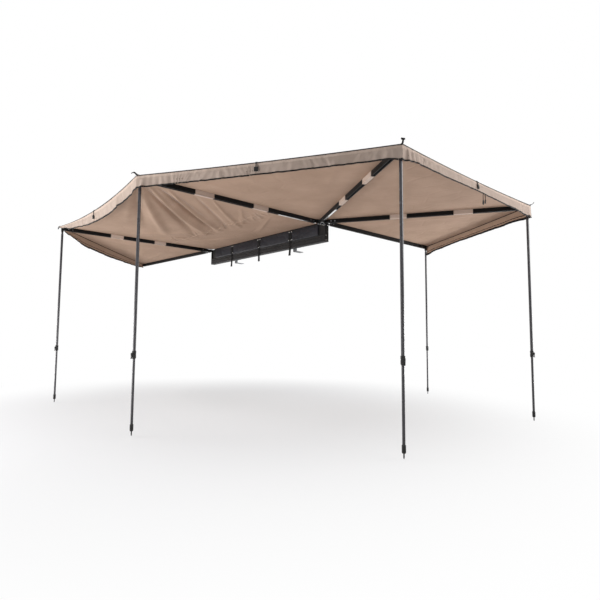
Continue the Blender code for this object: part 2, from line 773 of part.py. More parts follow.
def make_roof_brackets():
    """Angle plates bolted to the rail's T-slots, with slotted feet for roof bars."""
    for side, y in BRACKET_PLACES.items():
        low = RAIL_BOTTOM - BRACKET_BELOW
        back = GAP
        half = BRACKET_WIDTH / 2
        outline = [(back, low), (back + BRACKET_FOOT, low), (back + BRACKET_FOOT, low + BRACKET_PLATE)]
        outline += [(back + BRACKET_PLATE + BRACKET_CORNER, low + BRACKET_PLATE)]
        outline += [(back + BRACKET_PLATE, low + BRACKET_PLATE + BRACKET_CORNER)]
        outline += [(back + BRACKET_PLATE, BRACKET_TOP), (back, BRACKET_TOP)]
        angle = extruded([outline], -y - half, -y + half, along_y())
        adds = [angle]
        lay = Matrix.Rotation(math.radians(90), 4, "Y")
        for height in T_SLOT_HEIGHTS:
            head_start = back + BRACKET_PLATE - 0.001
            head_end = back + BRACKET_PLATE + BOLT_HEAD
            spot = Matrix.Translation((0.0, y, height)) @ lay
            adds.append(rod(BOLT_HEAD_RADIUS, head_start, head_end, sides=6, turn=spot))
            adds.append(rod(BOLT_RADIUS, -T_SLOT_LIP - 0.002, head_start + 0.002, sides=12, turn=spot))
            adds.append(
                box(
                    (GAP - T_SLOT_DEPTH, y - BOLT_RADIUS * 2, height - T_SLOT_WIDTH / 2 + 0.001),
                    (-T_SLOT_LIP - GAP, y + BOLT_RADIUS * 2, height + T_SLOT_WIDTH / 2 - 0.001),
                )
            )
        cuts = []
        for offset in (-half * 0.55, half * 0.55):
            middle = back + BRACKET_FOOT * 0.62
            reach = (BRACKET_SLOT_LENGTH - BRACKET_SLOT_WIDTH) / 2
            radius = BRACKET_SLOT_WIDTH / 2
            slot = arc(middle + reach, y + offset, radius, -90, 90, 6)
            slot += arc(middle - reach, y + offset, radius, 90, 270, 6)
            cuts.append(extruded([slot], low - PAST, low + BRACKET_PLATE + PAST))
        place(f"roof_bracket_{side}", joined(adds, cuts), bracket_finish)


clear_scene()
awning = new_collection("fan_awning")

aluminium = material("powder-coated aluminium, black", (0.022, 0.022, 0.025), 0.42, 0.3)
arm_finish = material("anodised aluminium, black", (0.012, 0.012, 0.014), 0.38, 0.4)
casting = material("cast aluminium, black", (0.016, 0.016, 0.018), 0.5, 0.3)
bright = material("plain aluminium", (0.72, 0.71, 0.70), 0.3, 1.0)
steel = material("zinc-plated steel", (0.55, 0.55, 0.56), 0.32, 1.0)
leg_finish = material("powder-coated steel tube, charcoal", (0.030, 0.030, 0.034), 0.35, 0.3)
plastic = material("moulded nylon, black", (0.012, 0.012, 0.012), 0.55)
canvas = material("ripstop canvas, tan", (0.42, 0.31, 0.24), 0.85)
vinyl = material("PVC-coated fabric, charcoal", (0.028, 0.028, 0.031), 0.55)
webbing = material("polyester webbing, black", (0.010, 0.010, 0.011), 0.8)
bracket_finish = material("zinc-plated steel plate", (0.20, 0.20, 0.21), 0.45, 0.9)

make_rail()
hinge_bracket(HUB_PIN_X, HUB_Y, -1, "rear")
hinge_bracket(FIRST_PIN_X, FRONT_Y, 1, "front")
arm_hinges = make_arms()
make_legs(arm_hinges)
make_canopy(arm_hinges)
make_bag()
make_bag_straps()
make_roof_brackets()
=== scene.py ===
import json
import math
from functools import partial

import bmesh
import bpy
import numpy as np
from mathutils import Matrix, Vector


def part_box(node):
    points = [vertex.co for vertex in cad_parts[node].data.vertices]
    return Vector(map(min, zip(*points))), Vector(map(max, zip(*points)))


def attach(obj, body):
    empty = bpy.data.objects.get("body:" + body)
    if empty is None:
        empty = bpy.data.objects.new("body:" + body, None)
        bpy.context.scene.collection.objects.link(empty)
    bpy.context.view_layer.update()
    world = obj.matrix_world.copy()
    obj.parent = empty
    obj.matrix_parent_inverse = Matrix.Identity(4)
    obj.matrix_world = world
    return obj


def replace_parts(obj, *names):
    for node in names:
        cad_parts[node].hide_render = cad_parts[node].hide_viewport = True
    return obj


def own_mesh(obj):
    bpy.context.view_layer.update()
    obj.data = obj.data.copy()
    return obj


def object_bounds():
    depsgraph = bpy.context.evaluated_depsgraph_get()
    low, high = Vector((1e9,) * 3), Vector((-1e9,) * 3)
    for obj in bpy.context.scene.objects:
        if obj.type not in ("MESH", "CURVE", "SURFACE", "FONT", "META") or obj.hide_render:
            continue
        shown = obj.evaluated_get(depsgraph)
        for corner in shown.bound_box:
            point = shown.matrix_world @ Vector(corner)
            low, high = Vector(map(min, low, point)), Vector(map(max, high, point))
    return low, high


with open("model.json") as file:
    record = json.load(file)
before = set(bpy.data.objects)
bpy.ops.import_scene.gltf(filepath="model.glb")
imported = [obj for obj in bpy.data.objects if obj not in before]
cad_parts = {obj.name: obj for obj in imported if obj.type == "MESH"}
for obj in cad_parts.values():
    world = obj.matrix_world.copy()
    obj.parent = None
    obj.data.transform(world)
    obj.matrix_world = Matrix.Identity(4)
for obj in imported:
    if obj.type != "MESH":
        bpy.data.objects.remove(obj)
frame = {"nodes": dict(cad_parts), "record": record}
nodes = frame["nodes"]
restBox = [list(corner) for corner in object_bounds()]
scene = bpy.context.scene

# The frame's plan: pins, headings and heights that every soft piece follows.
pitch = 0.035
reach = 1.98
hingeSpacing = 2.28
edgeReach = reach + 0.03
armHalf = 0.016
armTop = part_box("arm_b_channel")[1].z
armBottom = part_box("arm_b_channel")[0].z
headings = {"a": 0.0, "b": 0.0, "c": 60.0, "d": 120.0, "e": 180.0, "f": -87.0}


def direction(degrees):
    return np.array((-math.cos(math.radians(degrees)), -math.sin(math.radians(degrees))))


def held(share):
    return np.clip(share, 0, 1)


def axes(letter):  # an arm's way out from its pin, and the way to its rear
    return direction(headings[letter]), direction(headings[letter] + 90)


pins = {"a": np.array((-0.078, 1.14)), "b": np.array((-0.148, -1.14))}
for letter, carrier, turn in (("f", "a", -90), ("c", "b", 90), ("d", "c", 90), ("e", "d", 90)):
    pins[letter] = pins[carrier] + pitch * direction(headings[carrier] + turn)


# Materials.
def srgb(code):
    parts = [int(code[i : i + 2], 16) / 255 for i in (0, 2, 4)]
    linear = [p / 12.92 if p <= 0.04045 else ((p + 0.055) / 1.055) ** 2.4 for p in parts]
    return (*linear, 1.0)


# A node, set and linked; it gives back one of the node's outputs, or the node itself where none is picked.
def add(tree, kind, inputs=None, pick=0, **settings):
    named = kind.startswith(("Geometry", "Function", "Node"))
    made = tree.nodes.new(kind if named else "ShaderNode" + kind)
    for key, value in settings.items():
        setattr(made, key, value)
    for key, value in (inputs or {}).items():
        if isinstance(value, bpy.types.NodeSocket):
            tree.links.new(value, made.inputs[key])
        else:
            made.inputs[key].default_value = value
    return made if pick is None else made.outputs[pick]


def blank(name):  # a new paint, and the call that adds nodes to its tree
    made = bpy.data.materials.new(name)
    made.use_nodes = True
    made.node_tree.nodes.clear()
    return made, partial(add, made.node_tree)


def finished(node, shader):
    node("OutputMaterial", {"Surface": shader}, None)


colour = dict(pick=2, data_type="RGBA")  # a mix node's settings for colours


def varied(node, look, share, patch):  # between a finish's two tones, and between its two roughnesses
    tone = node("Mix", {0: share, 6: srgb(look["tones"][0]), 7: srgb(look["tones"][1])}, **colour)
    low, high = look["rough"]
    ends = {"Value": patch, "From Min": 0.3, "From Max": 0.7, "To Min": low, "To Max": high}
    return tone, node("MapRange", ends)


# Hard finishes: two tones, roughness from and to, metal, grain size and stretch, bump depth, and how
# much the blacks shine (a matt black gives back less than the usual half).
finishes = {
    # powder coat over aluminium: a fine orange peel that softens the edge lights
    "railCoat": dict(tones=("161515", "201f20"), rough=(0.46, 0.6), grain=0.004, bump=0.0004, shine=0.3),
    # black anodised extrusion: faint draw lines along the arm and a satin sheen
    "armAnodised": dict(
        tones=("0b0a0a", "131212"), rough=(0.42, 0.56), grain=0.012, bump=0.0002, stretch=(0.06, 1, 1),
        shine=0.15,
    ),
    # die casting under black paint: a slight pebble on a duller face
    "castPaint": dict(tones=("100f0f", "181717"), rough=(0.44, 0.6), grain=0.003, bump=0.0006, shine=0.25),
    # rolled bare aluminium: bright, with long rolling lines
    "bareAluminium": dict(
        tones=("dcdcda", "f0efec"), rough=(0.2, 0.34), metal=1.0, grain=0.01, bump=0.0001, stretch=(0.05, 1, 1)
    ),
    # zinc plating: pale grey metal with cloudy patches
    "zinc": dict(tones=("b4b6ba", "d4d5d8"), rough=(0.26, 0.42), metal=1.0, grain=0.01, bump=0.0001),
    # zinc-plated sheet for the brackets, duller and scuffed
    "zincSheet": dict(tones=("6e7073", "8b8d90"), rough=(0.36, 0.52), metal=1.0, grain=0.02, bump=0.0002),
    # charcoal powder coat on round steel tube: fine speckle and one long highlight
    "legCoat": dict(tones=("272529", "353338"), rough=(0.22, 0.34), grain=0.0025, bump=0.0003),
    # nickel-plated snap studs: small and very bright
    "stud": dict(tones=("e6e4e0", "f6f4f0"), rough=(0.16, 0.26), metal=1.0, grain=0.004, bump=0.0001),
    # bonded polyester thread, tan: a soft sheen on each stitch
    "thread": dict(tones=("8a7362", "a68d7a"), rough=(0.55, 0.7), grain=0.0015, bump=0.0002),
    # moulded nylon: spark-eroded texture, flat sheen
    "nylon": dict(tones=("0f0e0e", "181717"), rough=(0.5, 0.62), grain=0.0015, bump=0.0004, shine=0.3),
}
paints = {}
for name, f in finishes.items():
    made, node = blank(name)
    place = node("TexCoord", pick="Object")
    laid = node("Mapping", {"Vector": place, "Scale": f.get("stretch", (1, 1, 1))})
    fine = node("TexNoise", {"Vector": laid, "Scale": 1 / f["grain"], "Detail": 3.0})
    broad = node("TexNoise", {"Vector": place, "Scale": 7.0, "Detail": 4.0})
    both = node("Math", {0: fine, 1: broad}, operation="MULTIPLY")
    share = node("MapRange", {"Value": both, "From Min": 0.12, "From Max": 0.42})
    tone, rough = varied(node, f, share, broad)
    bump = node("Bump", {"Height": fine, "Strength": 0.6, "Distance": f["bump"]})
    coat = {"Base Color": tone, "Roughness": rough, "Metallic": f.get("metal", 0.0), "Normal": bump}
    coat["Specular IOR Level"] = f.get("shine", 0.5)
    finished(node, node("BsdfPrincipled", coat))
    paints[name] = made

# Woven finishes read the piece's own UV map, laid out in metres.
cloths = {
    # polyurethane-coated polyester canvas, tan: a ripstop grid, soft creases, some light passes through
    "canvas": dict(tones=("b3a092", "cbb9ad"), rough=(0.74, 0.88), thread=0.006, crease=0.0026, through=0.15),
    # the folded hem of the same canvas, two layers thick and paler
    "hemCanvas": dict(tones=("c8b3a4", "d8c5b7"), rough=(0.7, 0.84), thread=0.006, crease=0.001, through=0.12),
    # polyester binding tape, near black: tight ribs across its width
    "binding": dict(tones=("110e0e", "1b1818"), rough=(0.66, 0.8), thread=0.003, crease=0.0004),
    # polypropylene webbing: coarse rib
    "webbing": dict(tones=("0e0d0d", "181717"), rough=(0.7, 0.84), thread=0.004, crease=0.0004),
    # PVC-coated cloth, charcoal: smooth coat over a scrim that just shows, with handling dents
    "pvc": dict(tones=("232327", "313137"), rough=(0.38, 0.52), thread=0.004, crease=0.003),
}
for name, f in cloths.items():
    made, node = blank(name)
    flat = node("TexCoord", pick="UV")
    # one band per 2 pi / 20 of the coordinate at scale 1, so the scale is that over the thread spacing
    threads = {"Vector": flat, "Scale": math.pi / 10 / f["thread"]}
    wave = dict(pick="Fac", wave_type="BANDS", wave_profile="SIN")
    warp = node("TexWave", threads, bands_direction="X", **wave)
    weft = node("TexWave", threads, bands_direction="Y", **wave)
    grid = node("Math", {0: warp, 1: weft}, operation="MAXIMUM")
    raised = node("Math", {0: grid, 1: 12.0}, operation="POWER")
    blotch = node("TexNoise", {"Vector": flat, "Scale": 2.4, "Detail": 5.0})
    nap = node("TexNoise", {"Vector": flat, "Scale": 420.0, "Detail": 2.0})
    face = node("Math", {0: nap, 1: 0.35, 2: blotch}, operation="MULTIPLY_ADD")
    face = node("Math", {0: raised, 1: 0.12, 2: face}, operation="MULTIPLY_ADD")
    share = node("MapRange", {"Value": face, "From Min": 0.45, "From Max": 0.95})
    tone, rough = varied(node, f, share, blotch)
    if "through" in f:
        # painted shade: the canvas faces that look down or in are multiplied a shade browner and darker than the
        # face, standing in for the shade under the canopy
        inner = node("Attribute", pick="Fac", attribute_name="inside")
        paintedShadeTone = node("Mix", {0: 1.0, 6: tone, 7: srgb("efe1d3")}, blend_type="MULTIPLY", **colour)
        tone = node("Mix", {0: inner, 6: tone, 7: paintedShadeTone}, **colour)
    # handling creases: broken straight lines along cell edges
    bent = node("TexNoise", {"Vector": flat, "Scale": 3.0, "Detail": 2.0}, "Color")
    shifted = node("VectorMath", {0: bent, 1: (0.12, 0.12, 0.0)}, operation="MULTIPLY")
    moved = node("VectorMath", {0: flat, 1: shifted}, operation="ADD")
    cell = node("TexVoronoi", {"Vector": moved, "Scale": 4.5}, feature="DISTANCE_TO_EDGE")
    line = node("MapRange", {"Value": cell, "From Max": 0.1}, interpolation_type="SMOOTHSTEP")
    soft = node("TexNoise", {"Vector": flat, "Scale": 9.0, "Detail": 3.0})
    relief = node("Math", {0: soft, 1: 2.0, 2: line}, operation="MULTIPLY_ADD")
    wrinkled = node("Bump", {"Height": relief, "Strength": 0.5, "Distance": f["crease"]})
    woven = node("Bump", {"Height": face, "Strength": 0.4, "Distance": 0.0004, "Normal": wrinkled})
    coat = {"Base Color": tone, "Roughness": rough, "Normal": woven, "IOR": 1.45, "Specular IOR Level": 0.25}
    shader = node("BsdfPrincipled", coat)
    if "through" in f:
        # daylight that has come through the coated weave is browner
        deeper = node("Mix", {0: 1.0, 6: tone, 7: srgb("f0d6c2")}, blend_type="MULTIPLY", **colour)
        glow = node("BsdfTranslucent", {"Color": deeper, "Normal": woven})
        shader = node("MixShader", {0: f["through"], 1: shader, 2: glow})
    finished(node, shader)
    paints[name] = made

slotPaint = {
    "rail_black": "railCoat",
    "arm_black": "armAnodised",
    "casting_black": "castPaint",
    "plain_aluminium": "bareAluminium",
    "zinc_steel": "zinc",
    "bracket_zinc": "zincSheet",
    "leg_charcoal": "legCoat",
    "nylon_black": "nylon",
    "canvas_tan": "canvas",
    "vinyl_charcoal": "pvc",
    "webbing_black": "webbing",
}
for entry in frame["record"]["subparts"]:
    piece = nodes[entry["node"]]
    for spot in piece.material_slots:
        spot.material = paints[slotPaint[entry["material_slot"]]]

# The material slot name for each finish that the pieces made below are painted with.
slotOf = dict(canvas="canvas_tan", hemCanvas="canvas_tan", thread="canvas_tan", pvc="vinyl_charcoal")
slotOf.update(binding="webbing_black", webbing="webbing_black", nylon="nylon_black")
slotOf.update(stud="plain_aluminium", zinc="zinc_steel")
print("materials ready")


def unit(vectors):
    return vectors / np.maximum(np.linalg.norm(vectors, axis=-1, keepdims=True), 1e-12)


def gridNormals(points):
    return unit(np.cross(np.gradient(points, axis=1), np.gradient(points, axis=0)))


def placed(name, data):
    made = bpy.data.objects.new(name, data)
    scene.collection.objects.link(made)
    return made


def linked(name, mesh, paint, body=None):
    made = placed(name, mesh)
    if not mesh.materials:
        mesh.materials.append(paints[paint])
    if body:
        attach(made, body)
    return made


# A sheet of cloth, lifted off the given points along their normals; flip turns a grid that faces down.
def shell(name, points, flat, paint, thickness, normals, lift=0.0, flip=False):
    if flip:
        points, normals, flat = points[:, ::-1], -normals[:, ::-1], flat[:, ::-1]
    points = points + normals * lift
    rows, columns = points.shape[:2]
    count = rows * columns
    under = points - normals * thickness
    places = np.concatenate((points.reshape(-1, 3), under.reshape(-1, 3)))
    index = np.arange(count).reshape(rows, columns)
    a, b, c, d = index[:-1, :-1], index[:-1, 1:], index[1:, 1:], index[1:, :-1]
    top = np.stack((a, b, c, d), axis=-1).reshape(-1, 4)
    rim = np.concatenate((index[0, ::-1], index[1:, 0], index[-1, 1:], index[-2:0:-1, -1]))
    ahead = np.roll(rim, -1)
    side = np.stack((rim, ahead, ahead + count, rim + count), axis=-1)
    faces = np.concatenate((top, top[:, ::-1] + count, side))
    mesh = bpy.data.meshes.new(name)
    mesh.from_pydata(places.tolist(), [], faces.tolist())
    loops = faces.reshape(-1)
    spread = np.concatenate((flat.reshape(-1, 2), flat.reshape(-1, 2)))
    layer = mesh.uv_layers.new(name="metres")
    layer.data.foreach_set("uv", spread[loops].astype(np.float32).reshape(-1))
    mesh.shade_smooth()
    facing = np.concatenate((normals.reshape(-1, 3), -normals.reshape(-1, 3)))[loops]
    rimStart = 8 * len(top)
    edge = places[side[:, 1]] - places[side[:, 0]]
    out = unit(np.cross(edge, places[side[:, 3]] - places[side[:, 0]]))
    facing[rimStart:] = np.repeat(out, 4, axis=0)
    mesh.normals_split_custom_set(facing.tolist())
    # the faces marked here are given painted shade by the canvas paint
    inner = mesh.attributes.new("inside", "FLOAT", "FACE")  # 1 on the face that looks down or in
    inner.data.foreach_set("value", np.repeat((0.0, 1.0, 0.0), (len(top), len(top), len(side))).astype(np.float32))
    return linked(name, mesh, paint)


def creased(x, y, folds):  # each fold: from and to in plan, half width and height
    total = np.zeros_like(x)
    for x0, y0, x1, y1, width, height in folds:
        dx, dy = x1 - x0, y1 - y0
        length = math.hypot(dx, dy)
        along = ((x - x0) * dx + (y - y0) * dy) / length**2
        off = ((x - x0) * dy - (y - y0) * dx) / length
        inside = held(along)
        fade = np.sin(np.pi * inside) ** 0.7
        spread = width * (0.45 + 0.75 * inside)
        total += height * fade * np.exp(-((off / spread) ** 2))
    return total


def flatOverArms(u, width, depth):  # a sag that leaves the cloth level where an arm carries it
    edge = np.minimum(0.42, overArm / np.maximum(width, 1e-6))
    v = held((u - edge) / (1 - 2 * edge))
    return depth * 4 * v * (1 - v)


def eased(u, knots):
    places, values = (np.array(each, float) for each in zip(*knots))
    index = np.clip(np.searchsorted(places, u, side="right") - 1, 0, len(places) - 2)
    share = held((u - places[index]) / (places[index + 1] - places[index]))
    return values[index] + (values[index + 1] - values[index]) * share * share * (3 - 2 * share)


def ruffled(along, hang, phase):  # folds in a hanging edge, unevenly spaced and leaning to and fro
    along = along + 0.055 * hang * np.sin(along * 9.7 + phase) + 0.02 * hang * np.sin(along * 31.0 + 2.3 * phase)
    drift = 0.4 * np.sin(along * 5.1 + phase) + 0.22 * np.sin(along * 13.7 + 2 * phase)
    wide = np.sin(2 * math.pi * (along / 0.075 + drift))
    narrow = np.sin(2 * math.pi * (along / 0.041 + 1.7 * drift) + phase)
    swell = (0.45 + 0.55 * np.sin(along * 7.3 + phase)) * (0.7 + 0.5 * np.sin(hang * 4.0 + along * 17.0))
    return 0.6 * wide * swell + 0.4 * narrow * (0.5 + 0.5 * np.sin(along * 11.9 + phase))


def crumpled(along, across, seed):  # crisp small creases that cross at all angles
    chance = np.random.default_rng(seed)
    total = np.zeros_like(along)
    for _ in range(9):
        angle, size, phase = chance.uniform(-1.0, 1.0), chance.uniform(0.06, 0.17), chance.uniform(0, 6)
        place = (along * math.cos(angle) + across * math.sin(angle)) * math.pi / size + phase
        total += (0.64 - np.abs(np.sin(place + 0.8 * np.sin(0.37 * place + 2 * phase)))) * size / 0.11
    return total / 3


def fluttered(u, span, sizes, phases, weights):  # slow waves along a hanging edge
    waves = zip(sizes, phases, weights)
    return sum(np.sin(2 * math.pi * u * span / size + phase) * weight for size, phase, weight in waves)


valance = 0.105
cloth = 0.0008
overArm = 0.021  # the cloth lies level this far to each side of an arm's middle
laidOn = armTop + 0.0012  # height of its face over the arms
hubGap = 0.012  # from a pin to where the cloth starts
plainHem = 0.0105

# The five panels: the arms each is held by, how it hangs, and the joint that folds it.
panels = {
    "rear1": dict(
        first="b", second="c", replaces="canopy_rear_1", joint="arm_c_hinge", sag=0.008, inward=0.004,
        drops=((0, 0.107), (0.08, 0.1), (0.5, 0.095), (0.94, 0.097), (1, 0.105)), lean=0.03, ripple=0.006,
        crumple=0.0048, puckers=((0, 0.003), (0.06, 0.0066), (0.3, 0.0048), (0.55, 0.0034), (1, 0.0036)),
        seed=3,
        folds=[(-1.95, -1.3, -0.9, -1.45, 0.05, 0.006), (-1.3, -2.6, -0.75, -1.75, 0.05, 0.006),
               (-1.7, -1.75, -0.6, -1.5, 0.06, 0.005)],
    ),
    "rear2": dict(
        first="c", second="d", replaces="canopy_rear_2", joint="arm_d_hinge", sag=0.009, inward=0.01,
        drops=((0, 0.106), (0.09, 0.088), (0.5, 0.08), (0.8, 0.096), (1, 0.123)), lean=0.04, ripple=0.004,
        crumple=0.003, puckers=((0, 0.0034), (0.15, 0.0028), (0.5, 0.0024), (1, 0.002)),
        pleats=((0.03, 0.012, 0.01), (0.05, 0.01, -0.006), (0.16, 0.02, 0.004)), seed=5,
        folds=[(-0.85, -2.7, -0.35, -1.75, 0.05, 0.007), (0.65, -2.6, 0.2, -1.6, 0.05, 0.006),
               (-0.95, -2.35, -0.1, -1.95, 0.05, 0.005)],
    ),
    "rear3": dict(
        first="d", second="e", replaces="canopy_rear_3", joint="arm_e_hinge", sag=0.014, inward=0.016, hem=0.02,
        drops=((0, 0.121), (0.15, 0.1), (0.6, 0.09), (0.85, 0.1), (1, 0.128)), ripple=0.0022,
        crumple=0.0008, puckers=((0, 0.0008), (1, 0.001)), seed=7,
        folds=[(0.95, -2.55, 0.45, -1.7, 0.05, 0.006), (1.75, -1.4, 0.8, -1.38, 0.04, 0.005)],
    ),
    "front": dict(
        first="f", second="a", replaces="canopy_front", joint="arm_f_hinge", sag=0.024, inward=0.05, hem=0.018,
        drops=((0, 0.062), (0.15, 0.09), (0.6, 0.114), (0.8, 0.108), (0.93, 0.055), (1, 0.006)),
        ripple=0.0035, crumple=0.002, puckers=((0, 0.003), (0.5, 0.002), (1, 0.003)), seed=9,
        folds=[(-1.85, 1.3, -0.8, 1.6, 0.06, 0.009), (-0.35, 2.9, -0.45, 1.85, 0.05, 0.007),
               (-1.45, 1.95, -0.6, 1.75, 0.05, 0.007)],
    ),
}


def fanSurface(p):
    wave = np.random.default_rng(p["seed"])
    phases = wave.uniform(0, 2 * math.pi, 5)
    (firstPin, firstWay), (secondPin, secondWay) = [(pins[p[k]], axes(p[k])[0]) for k in ("first", "second")]
    ends = firstPin + edgeReach * firstWay, secondPin + edgeReach * secondWay
    line = ends[1] - ends[0]
    span = np.linalg.norm(line)
    out = np.array((line[1], -line[0])) / span
    if np.dot(out, (ends[0] + ends[1]) / 2 - firstPin) < 0:
        out = -out
    full = edgeReach - hubGap

    def surface(u, s):
        share = held(s / full)
        radius = hubGap + np.minimum(s, full)
        first = firstPin + radius[..., None] * firstWay
        second = secondPin + radius[..., None] * secondWay
        plan = first * (1 - u[..., None]) + second * u[..., None]
        width = np.linalg.norm(second - first, axis=-1)
        bow = 4 * u * (1 - u)
        plan = plan - out * (p["inward"] * bow * share**4)[..., None]
        height = laidOn - flatOverArms(u, width, p["sag"] * share**2)
        clear = held(flatOverArms(u, width, 1.0) * 1.5)
        height = height - creased(plan[..., 0], plan[..., 1], p["folds"]) * clear * held(share * 1.6)
        down = np.maximum(s - full, 0)
        hang = down / valance
        flutter = fluttered(u, span, (0.62, 0.31, 0.17, 0.095, 0.055), phases, (1.0, 0.8, 0.6, 0.5, 0.42))
        nearCorner = 0.6 + 0.9 * np.exp(-(((u - 0.03) / 0.1) ** 2)) + 0.5 * np.exp(-(((u - 0.97) / 0.08) ** 2))
        sideways = p.get("lean", 0.0) * down + p["ripple"] * flutter * nearCorner * np.clip(hang, 0, 1.2) ** 1.1
        sideways = sideways + eased(u, p["puckers"]) * ruffled(u * span, hang, p["seed"]) * held(hang * 1.6)
        sideways = sideways + p["crumple"] * crumpled(u * span, down, p["seed"] + 40) * held(hang * 3)
        for at, wide, high in p.get("pleats", ()):
            sideways = sideways + high * np.exp(-(((u - at) * span / wide) ** 2)) * held(hang * 2)
        plan = plan + out * sideways[..., None]
        drop = eased(u, p["drops"]) * (1 + 3.0 * p["ripple"] * flutter * held(bow * 3))
        height = height - drop * hang
        return np.concatenate((plan, height[..., None]), axis=-1)

    return surface, full, span


sideSag = 0.042
# folds measured off the photo: they fan from arm B's tip towards the middle of the rail
sideFolds = [
    (-2.06, -0.95, -1.00, 0.66, 0.052, 0.041), (-2.04, -0.98, -0.68, 0.48, 0.046, -0.034),
    (-2.00, -1.00, -0.62, 0.31, 0.038, 0.048), (-1.93, -1.02, -0.6, 0.16, 0.034, -0.036),
    (-1.85, -1.03, -0.6, 0.05, 0.033, 0.036), (-1.6, -1.03, -0.56, -0.08, 0.034, -0.022),
    (-1.4, -1.02, -0.52, -0.25, 0.03, 0.019), (-2.05, -0.85, -1.34, 0.49, 0.05, -0.024),
    (-2.06, -0.75, -1.62, 0.37, 0.055, 0.019), (-1.05, -0.98, -0.62, -0.42, 0.028, 0.011),
    (-1.6, 1.05, -0.8, 0.3, 0.05, 0.014), (-1.2, 1.08, -0.6, 0.55, 0.04, -0.012),
    (-0.62, -0.9, -0.25, -0.2, 0.03, 0.008), (-0.6, 0.8, -0.22, 0.1, 0.032, 0.01),
]


def sideSurface():
    inner, length = -0.037, 2.05
    ripple, crumple, scallop = 0.006, 0.0028, 0.005
    start, end = pins["b"] - (edgeReach, 0), pins["a"] - (edgeReach, 0)
    wave = np.random.default_rng(11)
    phases = wave.uniform(0, 2 * math.pi, 6)
    folds = list(sideFolds)
    for i in range(30):  # short puckers across the seam
        y = -1.0 + 2.0 * i / 29 + wave.uniform(-0.025, 0.025)
        x = -0.74 + wave.uniform(-0.03, 0.03)
        tilt, half = wave.uniform(-0.04, 0.1), wave.uniform(0.07, 0.15)
        folds.append((x - half, y - tilt, x + half, y + tilt, 0.015, wave.uniform(0.006, 0.013)))

    def surface(u, s):
        share = held(s / length)
        edge = start + u[..., None] * (end - start)
        bow = 4 * u * (1 - u)
        x = inner * (1 - share) + edge[..., 0] * share + 0.03 * bow * share**3
        y = edge[..., 1]
        sag = flatOverArms(u, np.full_like(u, hingeSpacing), sideSag * share**1.5)
        clear = held(bow * 4) * held(share * 6)
        overHinge = 0.0062 * held(1 - share / 0.12)  # room for the hinge bracket when folded
        height = laidOn + overHinge - sag - creased(x, y, folds) * clear
        down = np.maximum(s - length, 0)
        flutter = fluttered(u, hingeSpacing, (0.7, 0.38, 0.21, 0.12, 0.07), phases, (1.0, 0.8, 0.6, 0.35, 0.2))
        # the long side's valance swings a little inwards and runs out towards arm A
        lean = eased(u, ((0, 0.0), (0.12, -0.08), (0.4, -0.14), (0.8, 0.05), (1, 0.15)))
        drops = ((0, 0.107), (0.12, 0.116), (0.36, 0.12), (0.58, 0.11), (0.78, 0.078), (0.93, 0.04), (1, 0.02))
        hang = down / valance
        pucker = eased(u, ((0, 0.0025), (0.1, 0.005), (0.5, 0.0035), (1, 0.0015)))
        along = u * hingeSpacing
        waves = ripple * flutter + pucker * ruffled(along, hang, 4.0) + crumple * crumpled(along, down, 51)
        x = x - lean * down + waves * held(hang * 1.4)
        height = height - (eased(u, drops) - scallop * flutter * bow) * hang
        return np.stack((x, y, height), axis=-1)

    return surface, length, hingeSpacing


def surfaceNormals(surface, u, s, step=0.0015):
    acrossPanel = surface(u + step, s) - surface(u - step, s)
    outwards = surface(u, s + step * 2) - surface(u, s - step * 2)
    return unit(np.cross(acrossPanel, outwards))


# A closed panel lies in the gap between two arms: this far from the arm's middle, clear of its leg.
beside, flattened = 0.0148, 0.0022


def foldWith(piece, half):
    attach(piece, half["body"])
    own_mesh(piece)


# A panel in two parts, each with its trims, that go with the arm they lie on.
def makePanel(key, surface, full, span, halves, perMetre=95, seam=None, hem=plainHem, cut=0.5):
    edge = full + valance
    hemLine, inside = edge - hem, cloth + 0.0001
    sSteps = np.concatenate(
        (np.linspace(0, full - 0.02, 84), full + np.array((-0.008, -0.002, 0.002, 0.008)),
         full + np.linspace(0.016, valance, 13))
    )
    # trims: from and to, how far they drift across the panel, finish, height over the cloth and thickness
    bands = (
        ("edge", full - 0.004, full + 0.008, 0, "binding", 0.0009, cloth + 0.0018),
        ("hem", hemLine, edge + 0.001, 0, "binding", 0.0009, cloth + 0.0018),
        ("strip", full + 0.008, full + 0.029, 0, "hemCanvas", 0.0006, 0.0005),
        ("tape", edge - 0.042, edge - 0.035, 0, "binding", -inside, 0.0005),
    )
    if seam:
        bands += (("seam", *seam, "hemCanvas", -inside, 0.0008),)
    for i, half in enumerate(halves):
        start, end = half["from"], half["to"] = (0.0, cut) if i == 0 else (cut, 1.0)
        wide = span * (end - start)
        uSteps = np.linspace(start, end, round(wide * perMetre) + 1)
        u, s = np.meshgrid(uSteps, sSteps)
        points = surface(u, s)
        normals = surfaceNormals(surface, u, s)
        flip = normals[10, 10, 2] < 0
        widths = np.linalg.norm(surface(np.ones_like(s), s) - surface(np.zeros_like(s), s), axis=-1)
        flat = np.stack(((u - 0.5) * widths, s), axis=-1)
        piece = shell(f"canvas_{key}_{half['tag']}", points, flat, "canvas", cloth, normals, 0.0, flip)
        # the cut's area, from the hinge out and down the valance
        d1 = points[1:, 1:] - points[:-1, :-1]
        d2 = points[1:, :-1] - points[:-1, 1:]
        half["area"] = float(np.linalg.norm(np.cross(d1, d2), axis=2).sum() / 2)
        half["flat"] = (wide, edge)
        half["piece"], half["trim"] = piece, []
        for tag, low, high, slant, paint, lift, thick in bands:
            count = max(2 * len(uSteps) - 1 if tag == "seam" else 141, len(uSteps))
            u, s = np.meshgrid(np.linspace(uSteps[0], uSteps[-1], count), np.linspace(low, high, 5))
            s = s + slant * u
            points = surface(u, s)
            normals = surfaceNormals(surface, u, s)
            flat = np.stack((u * span, s), axis=-1)
            name = f"{tag}_{key}_{half['tag']}"
            half["trim"].append(shell(name, points, flat, paint, thick, normals, lift, flip))
        for part in (piece, *half["trim"]):
            foldWith(part, half)
    return halves[0]["piece"]


